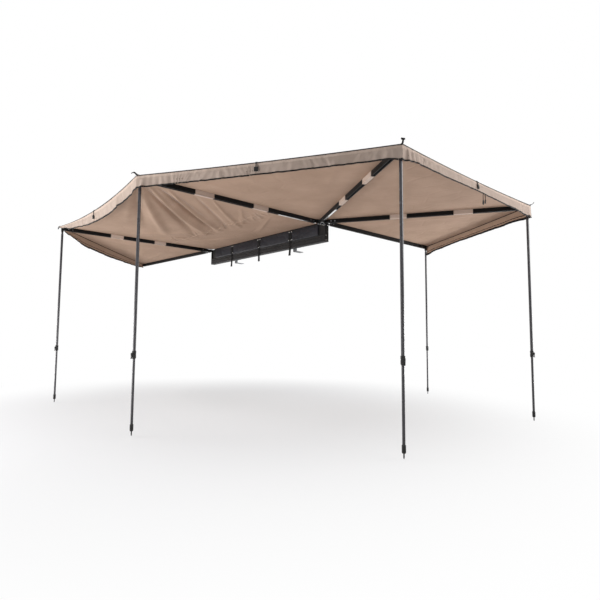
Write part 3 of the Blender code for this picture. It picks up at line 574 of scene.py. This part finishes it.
for key, p in panels.items():
    p["surface"], p["full"], p["span"] = fanSurface(p)
    p["halves"] = []
    for tag, arm, other in (("1", p["first"], p["second"]), ("2", p["second"], p["first"])):
        out, way = axes(arm)
        if np.dot(way, pins[other] + axes(other)[0] - pins[arm] - out) < 0:
            way = -way
        anchor = (*(pins[arm] + out + beside * way), armTop)
        p["halves"].append(dict(tag=tag, body=f"arm_{arm}", joint=p["joint"], axis=(*way, 0), anchor=anchor))
    made = makePanel(key, p["surface"], p["full"], p["span"], p["halves"], hem=p.get("hem", plainHem))
    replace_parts(made, p["replaces"])

# The long side's panel is cut past the tips of the hub arms when they lie along the rail, and its seam runs
# beside the rail, a little nearer to it at the front.
rear, front = pins["b"][1] + beside, pins["a"][1] - beside
side = dict(zip(("surface", "full", "span"), sideSurface()), cut=0.905, seam=(0.717, 0.733, -0.0644), perMetre=140)
side["halves"] = [
    dict(tag="1", body="arm_b", joint="arm_b_hinge", axis=(0, 1, 0), anchor=(-1.0, rear, armTop), keep=0.0011),
    dict(tag="2", body="arm_a", joint="arm_a_hinge", axis=(0, -1, 0), anchor=(-1.0, front, armTop)),
]
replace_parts(makePanel("side", **side), "canopy_side")
panels["side"] = side
print("canvas ready")


# Small solid parts are made as (points, faces) pairs and joined into one mesh per piece.
def skin(rings, closed=False):  # quads from ring to ring, with a cap at each open end
    count, sides = len(rings), len(rings[0])
    faces = []
    for i in range(count if closed else count - 1):
        for j in range(sides):
            a, b = i * sides + j, i * sides + (j + 1) % sides
            faces.append((a, b, (b + sides) % (count * sides), (a + sides) % (count * sides)))
    if not closed:
        faces += [tuple(reversed(range(sides))), tuple(range((count - 1) * sides, count * sides))]
    return [point for ring in rings for point in ring], faces


def sweep(path, radius, sides=8, closed=False):
    path = [np.array(p, float) for p in path]
    count = len(path)
    angles = [2 * math.pi * j / sides for j in range(sides)]
    rings, side = [], None
    for i, here in enumerate(path):
        ahead = path[(i + 1) % count] if closed or i + 1 < count else here
        behind = path[i - 1] if closed or i > 0 else here
        way = unit(ahead - behind)
        if side is None:
            side = np.cross(way, (0.0, 0.0, 1.0) if abs(way[2]) < 0.9 else (1.0, 0.0, 0.0))
        side = unit(side - way * np.dot(side, way))
        other = np.cross(way, side)
        rings.append([here + radius * (math.cos(angle) * side + math.sin(angle) * other) for angle in angles])
    return skin(rings, closed)


def block(centre, size, corner=0.001, segments=2, turn=None):
    shape = bmesh.new()
    bmesh.ops.create_cube(shape, size=1.0, matrix=Matrix.Diagonal((*size, 1.0)))
    bmesh.ops.bevel(shape, geom=shape.edges[:], offset=corner, segments=segments, affect="EDGES", profile=0.6)
    if turn is not None:
        bmesh.ops.transform(shape, matrix=turn, verts=shape.verts)
    points = [np.array(v.co) + np.array(centre) for v in shape.verts]
    faces = [tuple(v.index for v in face.verts) for face in shape.faces]
    shape.free()
    return points, faces


def build(name, parts, paint, body=None, angle=40):
    points, faces = [], []
    for some, those in parts:
        faces += [tuple(i + len(points) for i in face) for face in those]
        points += [tuple(p) for p in some]
    mesh = bpy.data.meshes.new(name)
    mesh.from_pydata(points, [], faces)
    shape = bmesh.new()
    shape.from_mesh(mesh)
    bmesh.ops.recalc_face_normals(shape, faces=shape.faces)
    shape.to_mesh(mesh)
    shape.free()
    layer = mesh.uv_layers.new(name="metres")
    spots = np.array(points)
    for face in mesh.polygons:
        n = face.normal
        keep = (1, 2) if abs(n.x) > max(abs(n.y), abs(n.z)) else (0, 2) if abs(n.y) > abs(n.z) else (0, 1)
        for loop in face.loop_indices:
            spot = spots[mesh.loops[loop].vertex_index]
            layer.data[loop].uv = (spot[keep[0]], spot[keep[1]])
    mesh.shade_smooth()
    mesh.set_sharp_from_angle(angle=math.radians(angle))
    return linked(name, mesh, paint, body)


def ribbon(path, across, width, thickness):
    path = [np.array(p, float) for p in path]
    across = unit(np.array(across, float))
    half = across * width / 2
    rings = []
    for i, here in enumerate(path):
        way = unit(path[min(i + 1, len(path) - 1)] - path[max(i - 1, 0)])
        out = unit(np.cross(across, way)) * thickness / 2
        rings.append([here - half + out, here + half + out, here + half - out, here - half - out])
    return skin(rings)


def curve(points, steps=6):
    points = [np.array(p, float) for p in points]
    padded = [2 * points[0] - points[1], *points, 2 * points[-1] - points[-2]]
    path = []
    for i in range(1, len(padded) - 2):
        a, b, c, d = padded[i - 1 : i + 3]
        for k in range(steps):
            t = k / steps
            path.append(
                0.5 * (2 * b + (c - a) * t + (2 * a - 5 * b + 4 * c - d) * t**2 + (3 * b - a - 3 * c + d) * t**3)
            )
    path.append(points[-1])
    return path


def armPoint(letter, out, side=0.0, z=0.0):
    way, rearward = axes(letter)
    plan = pins[letter] + out * way + side * rearward
    return np.array((plan[0], plan[1], z))


# What repeats is set by one node tree: a head on every point, turned to face along its normal.
scatterTree = bpy.data.node_groups.new("scatter", "GeometryNodeTree")
wanted = dict(Points="Geometry", Size="Vector", Sides="Int", Rings="Int", Round="Bool", Wobble="Float", Seed="Int")
for label, kind in dict(wanted, Paint="Material").items():
    scatterTree.interface.new_socket(label, in_out="INPUT", socket_type=f"NodeSocket{kind}")
scatterTree.interface.new_socket("Heads", in_out="OUTPUT", socket_type="NodeSocketGeometry")
node = partial(add, scatterTree)
given = node("NodeGroupInput", pick=None).outputs
sides = given["Sides"]
ball = node("GeometryNodeMeshUVSphere", {"Segments": sides, "Rings": given["Rings"], "Radius": 0.5})
taper = {"Vertices": sides, "Radius Top": 0.42, "Radius Bottom": 0.5, "Depth": 1.0}
stub = node("GeometryNodeMeshCone", taper)
head = node("GeometryNodeSwitch", {"Switch": given["Round"], "False": stub, "True": ball}, input_type="GEOMETRY")
shaped = node("GeometryNodeTransform", {"Geometry": head, "Scale": given["Size"]})
read = dict(kind="GeometryNodeInputNamedAttribute", pick="Attribute", data_type="FLOAT_VECTOR")
facing = node(inputs={"Name": "facing"}, **read)
along = node(inputs={"Name": "along"}, **read)
up = node("FunctionNodeAlignRotationToVector", {"Vector": facing}, axis="Z")
laid = node("FunctionNodeAlignRotationToVector", {"Rotation": up, "Vector": along}, axis="X", pivot_axis="Z")
least = node("Math", {0: given["Wobble"], 1: -1.0}, operation="MULTIPLY")
turns = {2: least, 3: given["Wobble"], "Seed": given["Seed"]}
chance = node("FunctionNodeRandomValue", turns, 1, data_type="FLOAT")
spin = node("FunctionNodeAxisAngleToRotation", {"Axis": (0.0, 0.0, 1.0), "Angle": chance})
askew = node("FunctionNodeRotateRotation", {"Rotation": laid, "Rotate By": spin}, rotation_space="LOCAL")
spread = {"Points": given["Points"], "Instance": shaped, "Rotation": askew}
real = node("GeometryNodeRealizeInstances", {"Geometry": node("GeometryNodeInstanceOnPoints", spread)})
smooth = node("GeometryNodeSetShadeSmooth", {"Geometry": real, "Shade Smooth": given["Round"]})
painted = node("GeometryNodeSetMaterial", {"Geometry": smooth, "Material": given["Paint"]})
node("NodeGroupOutput", {"Heads": painted}, None)


def scatter(name, spots, size, paint, body=None, sides=10, rings=6, rounded=True, wobble=0.0, seed=1):
    mesh = bpy.data.meshes.new(name)
    mesh.from_pydata([tuple(spot[0]) for spot in spots], [], [])
    for i, label in ((1, "facing"), (2, "along")):
        layer = mesh.attributes.new(label, "FLOAT_VECTOR", "POINT")
        layer.data.foreach_set("vector", np.array([spot[i] for spot in spots], np.float32).reshape(-1))
    holder = placed(name, mesh)
    modifier = holder.modifiers.new("scatter", "NODES")
    modifier.node_group = scatterTree
    values = dict(Size=size, Sides=sides, Rings=rings, Round=rounded, Wobble=wobble, Seed=seed, Paint=paints[paint])
    for item in scatterTree.interface.items_tree:
        if item.in_out == "INPUT" and item.name in values:
            modifier[item.identifier] = values[item.name]
    graph = bpy.context.evaluated_depsgraph_get()
    real = bpy.data.meshes.new_from_object(holder.evaluated_get(graph))
    bpy.data.objects.remove(holder, do_unlink=True)
    return linked(name, real, paint, body)


down = np.array((0.0, 0.0, -1.0))

# Rivets: two through each side of a channel into its root and its tip, and two at each stiffener end.
for letter in "abcdef":
    way, rearward = axes(letter)
    spots = []
    for out in (0.082, 0.126, reach - 0.108, reach - 0.062):
        for side in (1, -1):
            facing = np.array((*(side * rearward), 0.0))
            spots.append((armPoint(letter, out, side * armHalf, 0.095), facing, (0, 0, 1)))
    if letter in "bc":
        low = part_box(f"stiffener_{letter}")[0].z + 0.0009  # sunk, clear of the folded leg
        spots += [(armPoint(letter, out, 0.0, low), down, (*way, 0)) for out in (0.172, 0.192, 0.528, 0.548)]
    scatter(f"rivets_{letter}", spots, (0.0075, 0.0075, 0.0026), "zinc", f"arm_{letter}", 14, 7)

# Button-head bolts under each root's shoulder, on washers; they catch the light round the hub.
shoulder = 0.056
for letter in "abcdef":
    bolts, washers = [
        [(armPoint(letter, shoulder, side, armBottom - sunk), down, (1, 0, 0)) for side in (-0.0085, 0.0085)]
        for sunk in (0.001, 0.0004)
    ]
    scatter(f"root_bolts_{letter}", bolts, (0.01, 0.01, 0.0056), "stud", f"arm_{letter}", 16, 8)
    scatter(f"root_washers_{letter}", washers, (0.013, 0.013, 0.0012), "zinc", f"arm_{letter}", 20, 4, False)
forkLow = armBottom + 0.001
places = ((-0.062, -1.141), (-0.09, -1.141), (-0.054, 1.141), (-0.118, -1.141))
spots = [((x, y, forkLow - 0.0008), down, (1, 0, 0)) for x, y in places]
scatter("bracket_bolts", spots, (0.012, 0.012, 0.007), "stud", "case", 16, 8)

# Hex screws that hold the end plates on the rail.
spots = []
for side, face in ((1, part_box("front_hinge_bracket")[1].y), (-1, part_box("rear_hinge_bracket")[0].y)):
    for x, z in ((-0.046, -0.086), (-0.012, -0.086), (-0.046, -0.034), (-0.012, 0.01), (-0.028, 0.088)):
        spots.append(((x, face + side * 0.0018, z), (0, side, 0), (1, 0, 0.4)))
scatter("end_plate_screws", spots, (0.0105, 0.0105, 0.004), "zinc", "case", 6, 4, False)

# Canvas sleeves that hold the canopy down on its arms: a band down both sides and under the channel.
sleeves = {
    "a": ((0.7, 0.86), (1.27, 1.43)),
    "b": ((0.7, 0.88), (1.31, 1.5)),
    "c": ((0.7, 0.88), (1.31, 1.5)),
    "d": ((0.7, 0.87), (1.32, 1.5)),
}
section = [(0.0164, 0.1152), (0.0167, 0.112), (0.0168, 0.104), (0.0168, 0.095), (0.0168, 0.086)]
section += [(0.0168, 0.079), (0.0165, 0.0752), (0.0152, 0.0741), (0.011, 0.0738), (0.0055, 0.0737)]
section += [(0.0, 0.0737)] + [(-y, z) for y, z in reversed(section)]
chance = np.random.default_rng(21)
run = np.cumsum([0.0] + [math.dist(*pair) for pair in zip(section, section[1:])])
for letter, spans in sleeves.items():
    rearward = axes(letter)[1]
    body = f"arm_{letter}"
    for number, (start, end) in enumerate(spans, 1):
        lengths = np.linspace(start, end, 25)
        phase = chance.uniform(0, 6)
        grid, flat = [], []
        for out in lengths:
            ease = math.sin(math.pi * (out - start) / (end - start))
            line = []
            for y, z in section:
                slack = 0.0005 * math.sin(out * 90 + phase + z * 60) * (1 if abs(y) > 0.0165 else 0.2) * ease
                point = armPoint(letter, out, y, z)
                point[:2] += rearward * (math.copysign(min(slack, 0.0001), y) if y else 0.0)
                line.append(point)
            grid.append(line)
            flat.append([(out, r) for r in run])
        grid, flat = np.array(grid), np.array(flat)
        normals = gridNormals(grid)
        flip = np.dot(normals[12, 2, :2], grid[12, 2, :2] - armPoint(letter, lengths[12])[:2]) < 0
        sleeve = shell(f"sleeve_{letter}{number}", grid, flat, "hemCanvas", 0.0007, normals, 0.0, flip)
        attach(sleeve, body)
        edges = []
        for out in (start + 0.002, end - 0.002):
            ring = [armPoint(letter, out, y * 0.99, z - 0.0005 * (z < 0.08)) for y, z in section]
            edges.append(sweep(ring, 0.0007, 6))
        low = [armPoint(letter, out, 0.016, 0.0742) for out in np.linspace(start, end, 9)]
        edges.append(sweep(low, 0.0012, 6))
        trim = build(f"sleeve_binding_{letter}{number}", edges, "binding", body)
print("sleeves ready")

# Webbing tabs over the canopy's corners; each stands off its tip as the photo shows.
tabs = {
    "a": ((0.02, 0.022), (1.94, 0.118), (2.004, 0.1182), (2.018, 0.115), (2.024, 0.1), (2.024, 0.085)),
    "b": ((0.022, 0.024), (1.93, 0.1185), (2.002, 0.12), (2.018, 0.129), (2.034, 0.1335), (2.046, 0.126)),
    "c": ((0.012, 0.027), (1.93, 0.118), (2.000, 0.1184), (2.012, 0.122), (2.018, 0.134), (2.018, 0.148)),
    "d": ((0.014, 0.016), (1.93, 0.118), (2.004, 0.1184), (2.018, 0.1215), (2.03, 0.128), (2.038, 0.137)),
    "e": ((0.018, 0.02), (1.94, 0.118), (2.004, 0.1182), (2.018, 0.114), (2.022, 0.09), (2.02, 0.06)),
    "f": ((0.018, 0.02), (1.95, 0.118), (2.004, 0.1182), (2.017, 0.115), (2.022, 0.1), (2.022, 0.086)),
}
for letter, ((wide, end), *path) in tabs.items():  # widths along it and at its end, then its line: out and up
    line = curve([armPoint(letter, out, 0.0, z) for out, z in path])
    rearward = (*axes(letter)[1], 0.0)
    over = unit(line[-1] - line[-2]) * 0.001
    stop = [line[-1] + over + side * np.array(rearward) * end / 2 for side in (-1, 1)]
    parts = [
        ribbon(line, rearward, wide, 0.0034),
        ribbon([p + np.array((0, 0, 0.0022)) for p in line[:9]], rearward, wide * 0.96, 0.0014),
        ribbon([p + over for p in line[-5:]], rearward, end, 0.0052),
        sweep(stop, 0.003, 8),
    ]
    build(f"corner_tab_{letter}", parts, "webbing", f"arm_{letter}")


def onSurface(surface, u, s, out):  # a point of a panel, moved out along the normal
    uu, ss = np.array([[u]]), np.array([[s]])
    point = surface(uu, ss)[0, 0]
    normal = surfaceNormals(surface, uu, ss)[0, 0]
    return point + normal * out


def upward(surface, full):  # 1 where the panel's normals point up, or -1
    return 1.0 if surfaceNormals(surface, np.array([[0.4]]), np.array([[full * 0.5]]))[0, 0, 2] > 0 else -1.0


# A cord toggle hangs over the middle of each outer edge.
middle = 0.497
for key, p in panels.items():
    surface, full, span = p["surface"], p["full"], p["span"]
    sign = upward(surface, full)
    wide, deep, long = (0.02, 0.009, 0.036) if key == "rear2" else (0.03, 0.01, 0.032)
    knots = ((full - 0.03, 0.0025), (full - 0.01, 0.0035), (full + 0.004, 0.005), (full + 0.046, 0.006))
    strands = [
        curve([onSurface(surface, middle + shift / span, s, sign * out) for s, out in knots])
        for shift in (-0.0045, 0.0045)
    ]
    top = onSurface(surface, middle, full + 0.044, sign * 0.008)
    base = onSurface(surface, middle, full + 0.044 + long, sign * 0.008)
    away = unit(onSurface(surface, middle, full + 0.06, sign * 0.01) - onSurface(surface, middle, full + 0.06, 0.0))
    downward = unit(base - top)
    turn = Matrix([(*np.cross(downward, away),), (*away,), (*(-downward),)]).transposed().to_4x4()
    parts = [
        sweep(strands[0] + strands[1][::-1], 0.002, 8),
        block(top * 0.5 + base * 0.5, (wide, deep, long), 0.0026, 3, turn),
        block(top * 0.28 + base * 0.72 + away * deep * 0.5, (wide * 0.8, 0.0026, 0.007), 0.001, 2, turn),
        block(top * 0.96 + base * 0.04, (wide * 0.62, deep * 0.8, 0.008), 0.0018, 2, turn),
    ]
    foldWith(build(f"toggle_{key}", parts, "nylon"), p["halves"][0])

# The bead track on the rail that the side panel's inner edge lies on.
track = dict(x=-0.0365, height=0.1184, half=1.085, radius=0.0041)
line = [np.array((track["x"], y, track["height"])) for y in np.linspace(-track["half"], track["half"], 25)]
build("bead_track", [sweep(line, track["radius"], 10)], "binding", "case")

# Two webbing ends that hang inside the rear edge, past the middle, below its valance.
rearTwo = panels["rear2"]
parts = []
for u, low, end in ((0.58, 0.146, 0.02), (0.598, 0.132, 0.014)):
    top = onSurface(rearTwo["surface"], u, rearTwo["full"] - 0.035, 0.0)
    line = [top + np.array((0.0, 0.0, -0.003 - share * low)) for share in np.linspace(0, 1, 9)]
    line = [p + np.array((0.004 * math.sin(5 * i * 0.3 + u * 40), 0.003 * i / 8, 0)) for i, p in enumerate(line)]
    parts.append(ribbon(line, (1, 0.05, 0), 0.011, 0.0016))
    parts.append(ribbon([line[-3] + np.array((0, -0.0004, 0)), line[-1]], (1, 0.05, 0), end, 0.005))
foldWith(build("inner_tabs_rear2", parts, "webbing"), rearTwo["halves"][1])

# Clamp levers on the leg collars, on the side that faces out and so hangs down when a leg is folded.
for letter in "abcde":
    low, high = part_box(f"leg_{letter}_collar")
    middle = (low.z + high.z) / 2
    way, across = axes(letter)
    turn = Matrix([(*way, 0), (*across, 0), (0, 0, 1)]).transposed().to_4x4()
    lean = turn @ Matrix.Rotation(math.radians(4), 4, "Y")
    parts = []
    for out, z, size, corner, turned in (
        (0.0165, 0.004, (0.007, 0.017, 0.022), 0.0016, turn),
        (0.0215, -0.008, (0.0042, 0.015, 0.044), 0.0018, lean),
        (0.023, -0.028, (0.005, 0.012, 0.006), 0.0016, lean),
    ):
        parts.append(block(armPoint(letter, reach + out, 0.0, middle + z), size, corner, 3, turned))
    pin = [armPoint(letter, reach + 0.0175, side, middle + 0.008) for side in (-0.0098, 0.0098)]
    parts.append(sweep(pin, 0.0022, 12))
    build(f"clamp_lever_{letter}", parts, "nylon", f"leg_{letter}")

# The open bag: a lofted shell of coated cloth that sags between its straps and is pinched at each one.
straps = {s: (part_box(f"bag_strap_{s}")[0].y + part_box(f"bag_strap_{s}")[1].y) / 2 for s in ("rear", "middle", "front")}
bagLow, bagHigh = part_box("bag")
outline = [(-0.0404, -0.0192), (-0.0404, 0.03), (-0.0404, 0.075), (-0.0406, 0.104), (-0.044, 0.1082)]
outline += [(-0.049, 0.1078), (-0.0522, 0.103), (-0.054, 0.093), (-0.0556, 0.078), (-0.0568, 0.056)]
outline += [(-0.0572, 0.034), (-0.057, 0.012), (-0.0566, -0.004), (-0.0552, -0.014), (-0.052, -0.0186)]
outline += [(-0.046, -0.0194)]
loopPath = curve([(x, 0.0, z) for x, z in outline + outline[:1]], 5)[:-1]
sectionX = np.array([p[0] for p in loopPath])
sectionZ = np.array([p[2] for p in loopPath])
chance = np.random.default_rng(33)
ranges = ((-1, 1), (0.0, 0.09), (0.03, 0.12), (-1, 1))  # of a dent's place along and up, size and depth
dents = [[chance.uniform(*ends) for ends in ranges] for _ in range(46)]
nearEnd = np.array((0.002, 0.005, 0.01))
stations = np.linspace(bagLow.y, bagHigh.y, 240)
stations = np.unique(np.concatenate((stations, bagLow.y + nearEnd, bagHigh.y - nearEnd)))
rings = []
for y in stations:
    front = held((-0.044 - sectionX) / 0.01)
    pinch = sum(math.exp(-(((y - at) / 0.045) ** 2)) for at in straps.values())
    swell = 0.0016 * (1 - pinch) * np.sin(np.pi * held((sectionZ + 0.02) / 0.12))
    for at, z, size, deep in dents:
        slant = (sectionZ - z - 0.25 * (y - at)) / 0.016
        swell = swell + 0.0011 * deep * np.exp(-(((y - at) / size) ** 2 + slant**2))
    droop = 0.0035 * math.sin(y * 7.0 + 1.0) + 0.002 * math.sin(y * 17.0)
    endEase = min(1.0, min(y - bagLow.y, bagHigh.y - y) / 0.01)
    shrink = 1 - 0.45 * (1 - math.sqrt(max(endEase, 0.0)))
    x = -0.0404 + (sectionX + 0.0404 - swell * front) * shrink
    z = sectionZ - droop * held((sectionZ - 0.085) / 0.02) - 0.004 * held((sectionZ - 0.085) / 0.02)
    rings.append(np.stack((np.maximum(x, -0.0598), np.full_like(x, y), z), axis=-1))
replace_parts(build("bag_shell", [skin(rings)], "pvc", "case", 60), "bag")
# zip coil along the top of the face, with its slider at the rear end
front = int(np.argmin(np.abs(sectionZ - 0.088) + (sectionX > -0.048) * 1.0))
coil = [ring[front] + np.array((-0.0006, 0, 0)) for ring in rings[3:-3]]
parts = [sweep(coil, 0.0014, 8)]
pull = coil[6] + np.array((-0.0018, 0, -0.008))
parts.append(block(coil[6] + np.array((-0.0012, 0, 0)), (0.003, 0.012, 0.007), 0.001, 2))
parts.append(block(pull, (0.0014, 0.006, 0.018), 0.0006, 2))
build("bag_zip", parts, "nylon", "case")

# Bag straps: webbing sewn on the bag, through a ladder buckle, over the ledge, with a loose tail.
patch = [(-0.0531, 0.106), (-0.0545, 0.096), (-0.0564, 0.08), (-0.0577, 0.056), (-0.0582, 0.034)]
patch += [(-0.0581, 0.012), (-0.0577, -0.004), (-0.0572, -0.012)]
spots = []
for (name, y), sway in zip(straps.items(), (0.0016, -0.0022, 0.001)):
    run = [(-0.0604, 0, 0.06), (-0.0608, 0, 0.04), (-0.0608, 0, 0.01), (-0.059, 0, -0.024), (-0.0584, 0, -0.075)]
    run += [(-0.0583, sway, -0.11), (-0.0586, 2 * sway, -0.14), (-0.06, 3 * sway, -0.168)]
    run += [(-0.0596, 3 * sway, -0.186)]
    line = curve([(x, y + off, z) for x, off, z in run])
    tail = [p + np.array((-0.0006, 0, 0)) for p in (line[-8], line[-1])]
    parts = [ribbon(line, (0, 1, 0), 0.035, 0.0015), ribbon(tail, (0, 1, 0), 0.0355, 0.0026)]
    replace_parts(build(f"bag_webbing_{name}", parts, "webbing", "case"), f"bag_strap_{name}")
    rim = []
    for cy, cz, start in ((1, 1, 0), (-1, 1, 90), (-1, -1, 180), (1, -1, 270)):
        for angle in np.radians(start + np.arange(0, 120, 30)):
            up = 0.015 + cz * 0.0185 + 0.0035 * math.sin(angle)
            rim.append((-0.063, y + cy * 0.0165 + 0.0035 * math.cos(angle), up))
    parts = [sweep(rim, 0.0021, 8, True)]
    for z in (0.0075, 0.0225):
        parts.append(sweep([(-0.0632, y - 0.019, z), (-0.0632, y + 0.019, z)], 0.0019, 8))
    build(f"ladder_buckle_{name}", parts, "nylon", "case")
    # a wide patch is sewn on the bag behind each strap, with two studs at its top and two at its foot
    line = curve([(x - 0.0004, y, z) for x, z in patch])
    build(f"strap_patch_{name}", [ribbon(line, (0, 1, 0), 0.056, 0.0018)], "webbing", "case")
    for side in (-0.0215, 0.0215):
        spots.append(((-0.056, y + side, 0.096), (-1, 0, 0.15), (0, 0, 1)))
        spots.append(((-0.0592, y + side, -0.001), (-1, 0, 0), (0, 0, 1)))
scatter("strap_studs", spots, (0.015, 0.015, 0.0066), "stud", "case", 16, 8)
print("case ready")

# Stitches: one capsule of thread for each, longer and further apart than real ones so that they show.
stitch = dict(length=0.0062, thread=0.0013, pitch=0.0105)
size = (stitch["length"], stitch["thread"], stitch["thread"] * 0.8)
for key, p in panels.items():
    surface, full, span = p["surface"], p["full"], p["span"]
    up = upward(surface, full)
    # rows: distance out from the hinge, slant across the panel, height over the cloth's outer face
    rows = [(full + 0.0115, 0, 0.0009), (full + 0.0265, 0, 0.0009), (full + valance - 0.0135, 0, 0.0003)]
    rows += [(full + valance - 0.0385, 0, -cloth - 0.0009)]
    if key == "side":
        rows += [(0.72, -0.0644, -cloth - 0.0012), (0.73, -0.0644, -cloth - 0.0012)]
    for i, half in enumerate(p["halves"]):
        steps = np.arange(0.012, span * (half["to"] - half["from"]), stitch["pitch"]) / span + half["from"]
        spots = []
        for s0, slant, over in rows:
            u, s = np.meshgrid(steps, np.array([s0]))
            s = s + slant * u
            points, normals = surface(u, s)[0], surfaceNormals(surface, u, s)[0] * up
            ahead = surface(u + 0.001, s)[0] - points
            for point, normal, way in zip(points, normals, ahead):
                spots.append((point + normal * over, normal, unit(way)))
        sewn = scatter(f"stitches_{key}_{half['tag']}", spots, size, "thread", None, 6, 4, seed=i + 2)
        foldWith(sewn, half)
        half["trim"].append(sewn)
print("stitches ready")

for p in panels.values():
    for half in p["halves"]:
        wide, long = half["flat"]


# Stage: a pale floor that runs out of sight.
ground = restBox[0][2]
stage = bpy.data.meshes.new("floor")
size = 60.0
stage.from_pydata([(-size, -size, 0), (size, -size, 0), (size, size, 0), (-size, size, 0)], [], [(0, 1, 2, 3)])
floor = placed("floor", stage)
floor.location.z = ground - 0.001
# The floor whitens outwards, so that only the shadow under the canopy is left in the picture.
fade = {"From Min": 1.3, "From Max": 4.0, "To Min": 0.5}


def seenIn(node):  # 1 for the rays that the camera, a mirror or clear matter sends
    ray = node("LightPath", pick=None).outputs
    seen = node("Math", {0: ray["Is Camera Ray"], 1: ray["Is Glossy Ray"]}, operation="MAXIMUM")
    return node("Math", {0: seen, 1: ray["Is Transmission Ray"]}, operation="MAXIMUM")


made, node = blank("studioFloor")
place = node("TexCoord", pick="Object")
centred = node("VectorMath", {0: place, 1: (0.9, 0.4, 0.0)}, operation="ADD")
away = node("VectorMath", {0: centred}, "Value", operation="LENGTH")
far = node("MapRange", dict(fade, Value=away), interpolation_type="SMOOTHSTEP")
whiteness = node("Math", {0: far, 1: seenIn(node)}, operation="MULTIPLY")
shade = node("BsdfPrincipled", {"Base Color": srgb("d4d4d7"), "Roughness": 0.9})
white = node("Emission", {"Color": (1, 1, 1, 1), "Strength": 1.0})
finished(node, node("MixShader", {0: whiteness, 1: shade, 2: white}))
stage.materials.append(made)

world = bpy.data.worlds.new("studio")
scene.world = world
world.use_nodes = True
world.node_tree.nodes.clear()
node = partial(add, world.node_tree)
strength = node("MapRange", {"Value": seenIn(node), "To Min": 0.12})
sky = node("Background", {"Color": (1, 1, 1, 1), "Strength": strength})
node("OutputWorld", {"Surface": sky}, None)

lamps = {
    # key high on the long side, fill behind the camera, a side light on the rear edge and one overhead; three low
    # panels stand in for the light that a pale floor throws up under the outer edges
    "key": dict(at=(-5.6, 3.0, 4.2), size=3.0, watts=320.0, aim=(-2.0, 0.2, 0.0)),
    "fill": dict(at=(0.6, -8.6, 2.4), size=4.0, watts=175.0, aim=(0.0, -2.6, 0.0)),
    "east": dict(at=(3.8, -6.6, 1.8), size=3.0, watts=230.0, aim=(0.9, -2.8, 0.0)),
    "top": dict(at=(-0.6, -0.8, 6.0), size=5.0, watts=170.0, aim=(-0.4, -0.4, 0.0)),
    "lowSide": dict(at=(-4.5, -0.6, -1.6), size=2.2, watts=130.0, aim=(-1.7, -0.3, 0.1)),
    "lowEast": dict(at=(3.6, -2.4, -1.5), size=2.0, watts=115.0, aim=(1.3, -1.8, 0.1)),
    "lowFront": dict(at=(-2.6, 3.9, -1.5), size=2.0, watts=100.0, aim=(-1.3, 1.9, 0.1)),
}
for name, lamp in lamps.items():
    data = bpy.data.lights.new(name, "AREA")
    data.size = lamp["size"]
    data.energy = lamp["watts"]
    made = placed(name, data)
    made.visible_camera = False
    made.location = lamp["at"]
    aim = Vector(lamp["aim"]) - Vector(lamp["at"])
    made.rotation_euler = aim.to_track_quat("-Z", "Y").to_euler()

# Camera, fitted to the photo's leg tops, feet, canopy corners and rail ends.
cameraData = bpy.data.cameras.new("camera")
cameraData.sensor_width = sensor = 36.0
cameraData.lens = 461.12 * sensor / 600  # the focal length in the photo's pixels, over its width
cameraData.clip_start = 0.05
cameraData.clip_end = 200.0
camera = placed("camera", cameraData)
yaw, tilt, roll = 0.745, 0.0793, 0.0065
forward = Vector((math.sin(yaw) * math.cos(tilt), math.cos(yaw) * math.cos(tilt), math.sin(tilt)))
turned = forward.to_track_quat("-Z", "Y").to_matrix() @ Matrix.Rotation(roll, 3, "Z")
camera.matrix_world = Matrix.Translation((-3.5995, -4.5987, -1.1344)) @ turned.to_4x4()
scene.camera = camera
scene.view_settings.view_transform = "Standard"
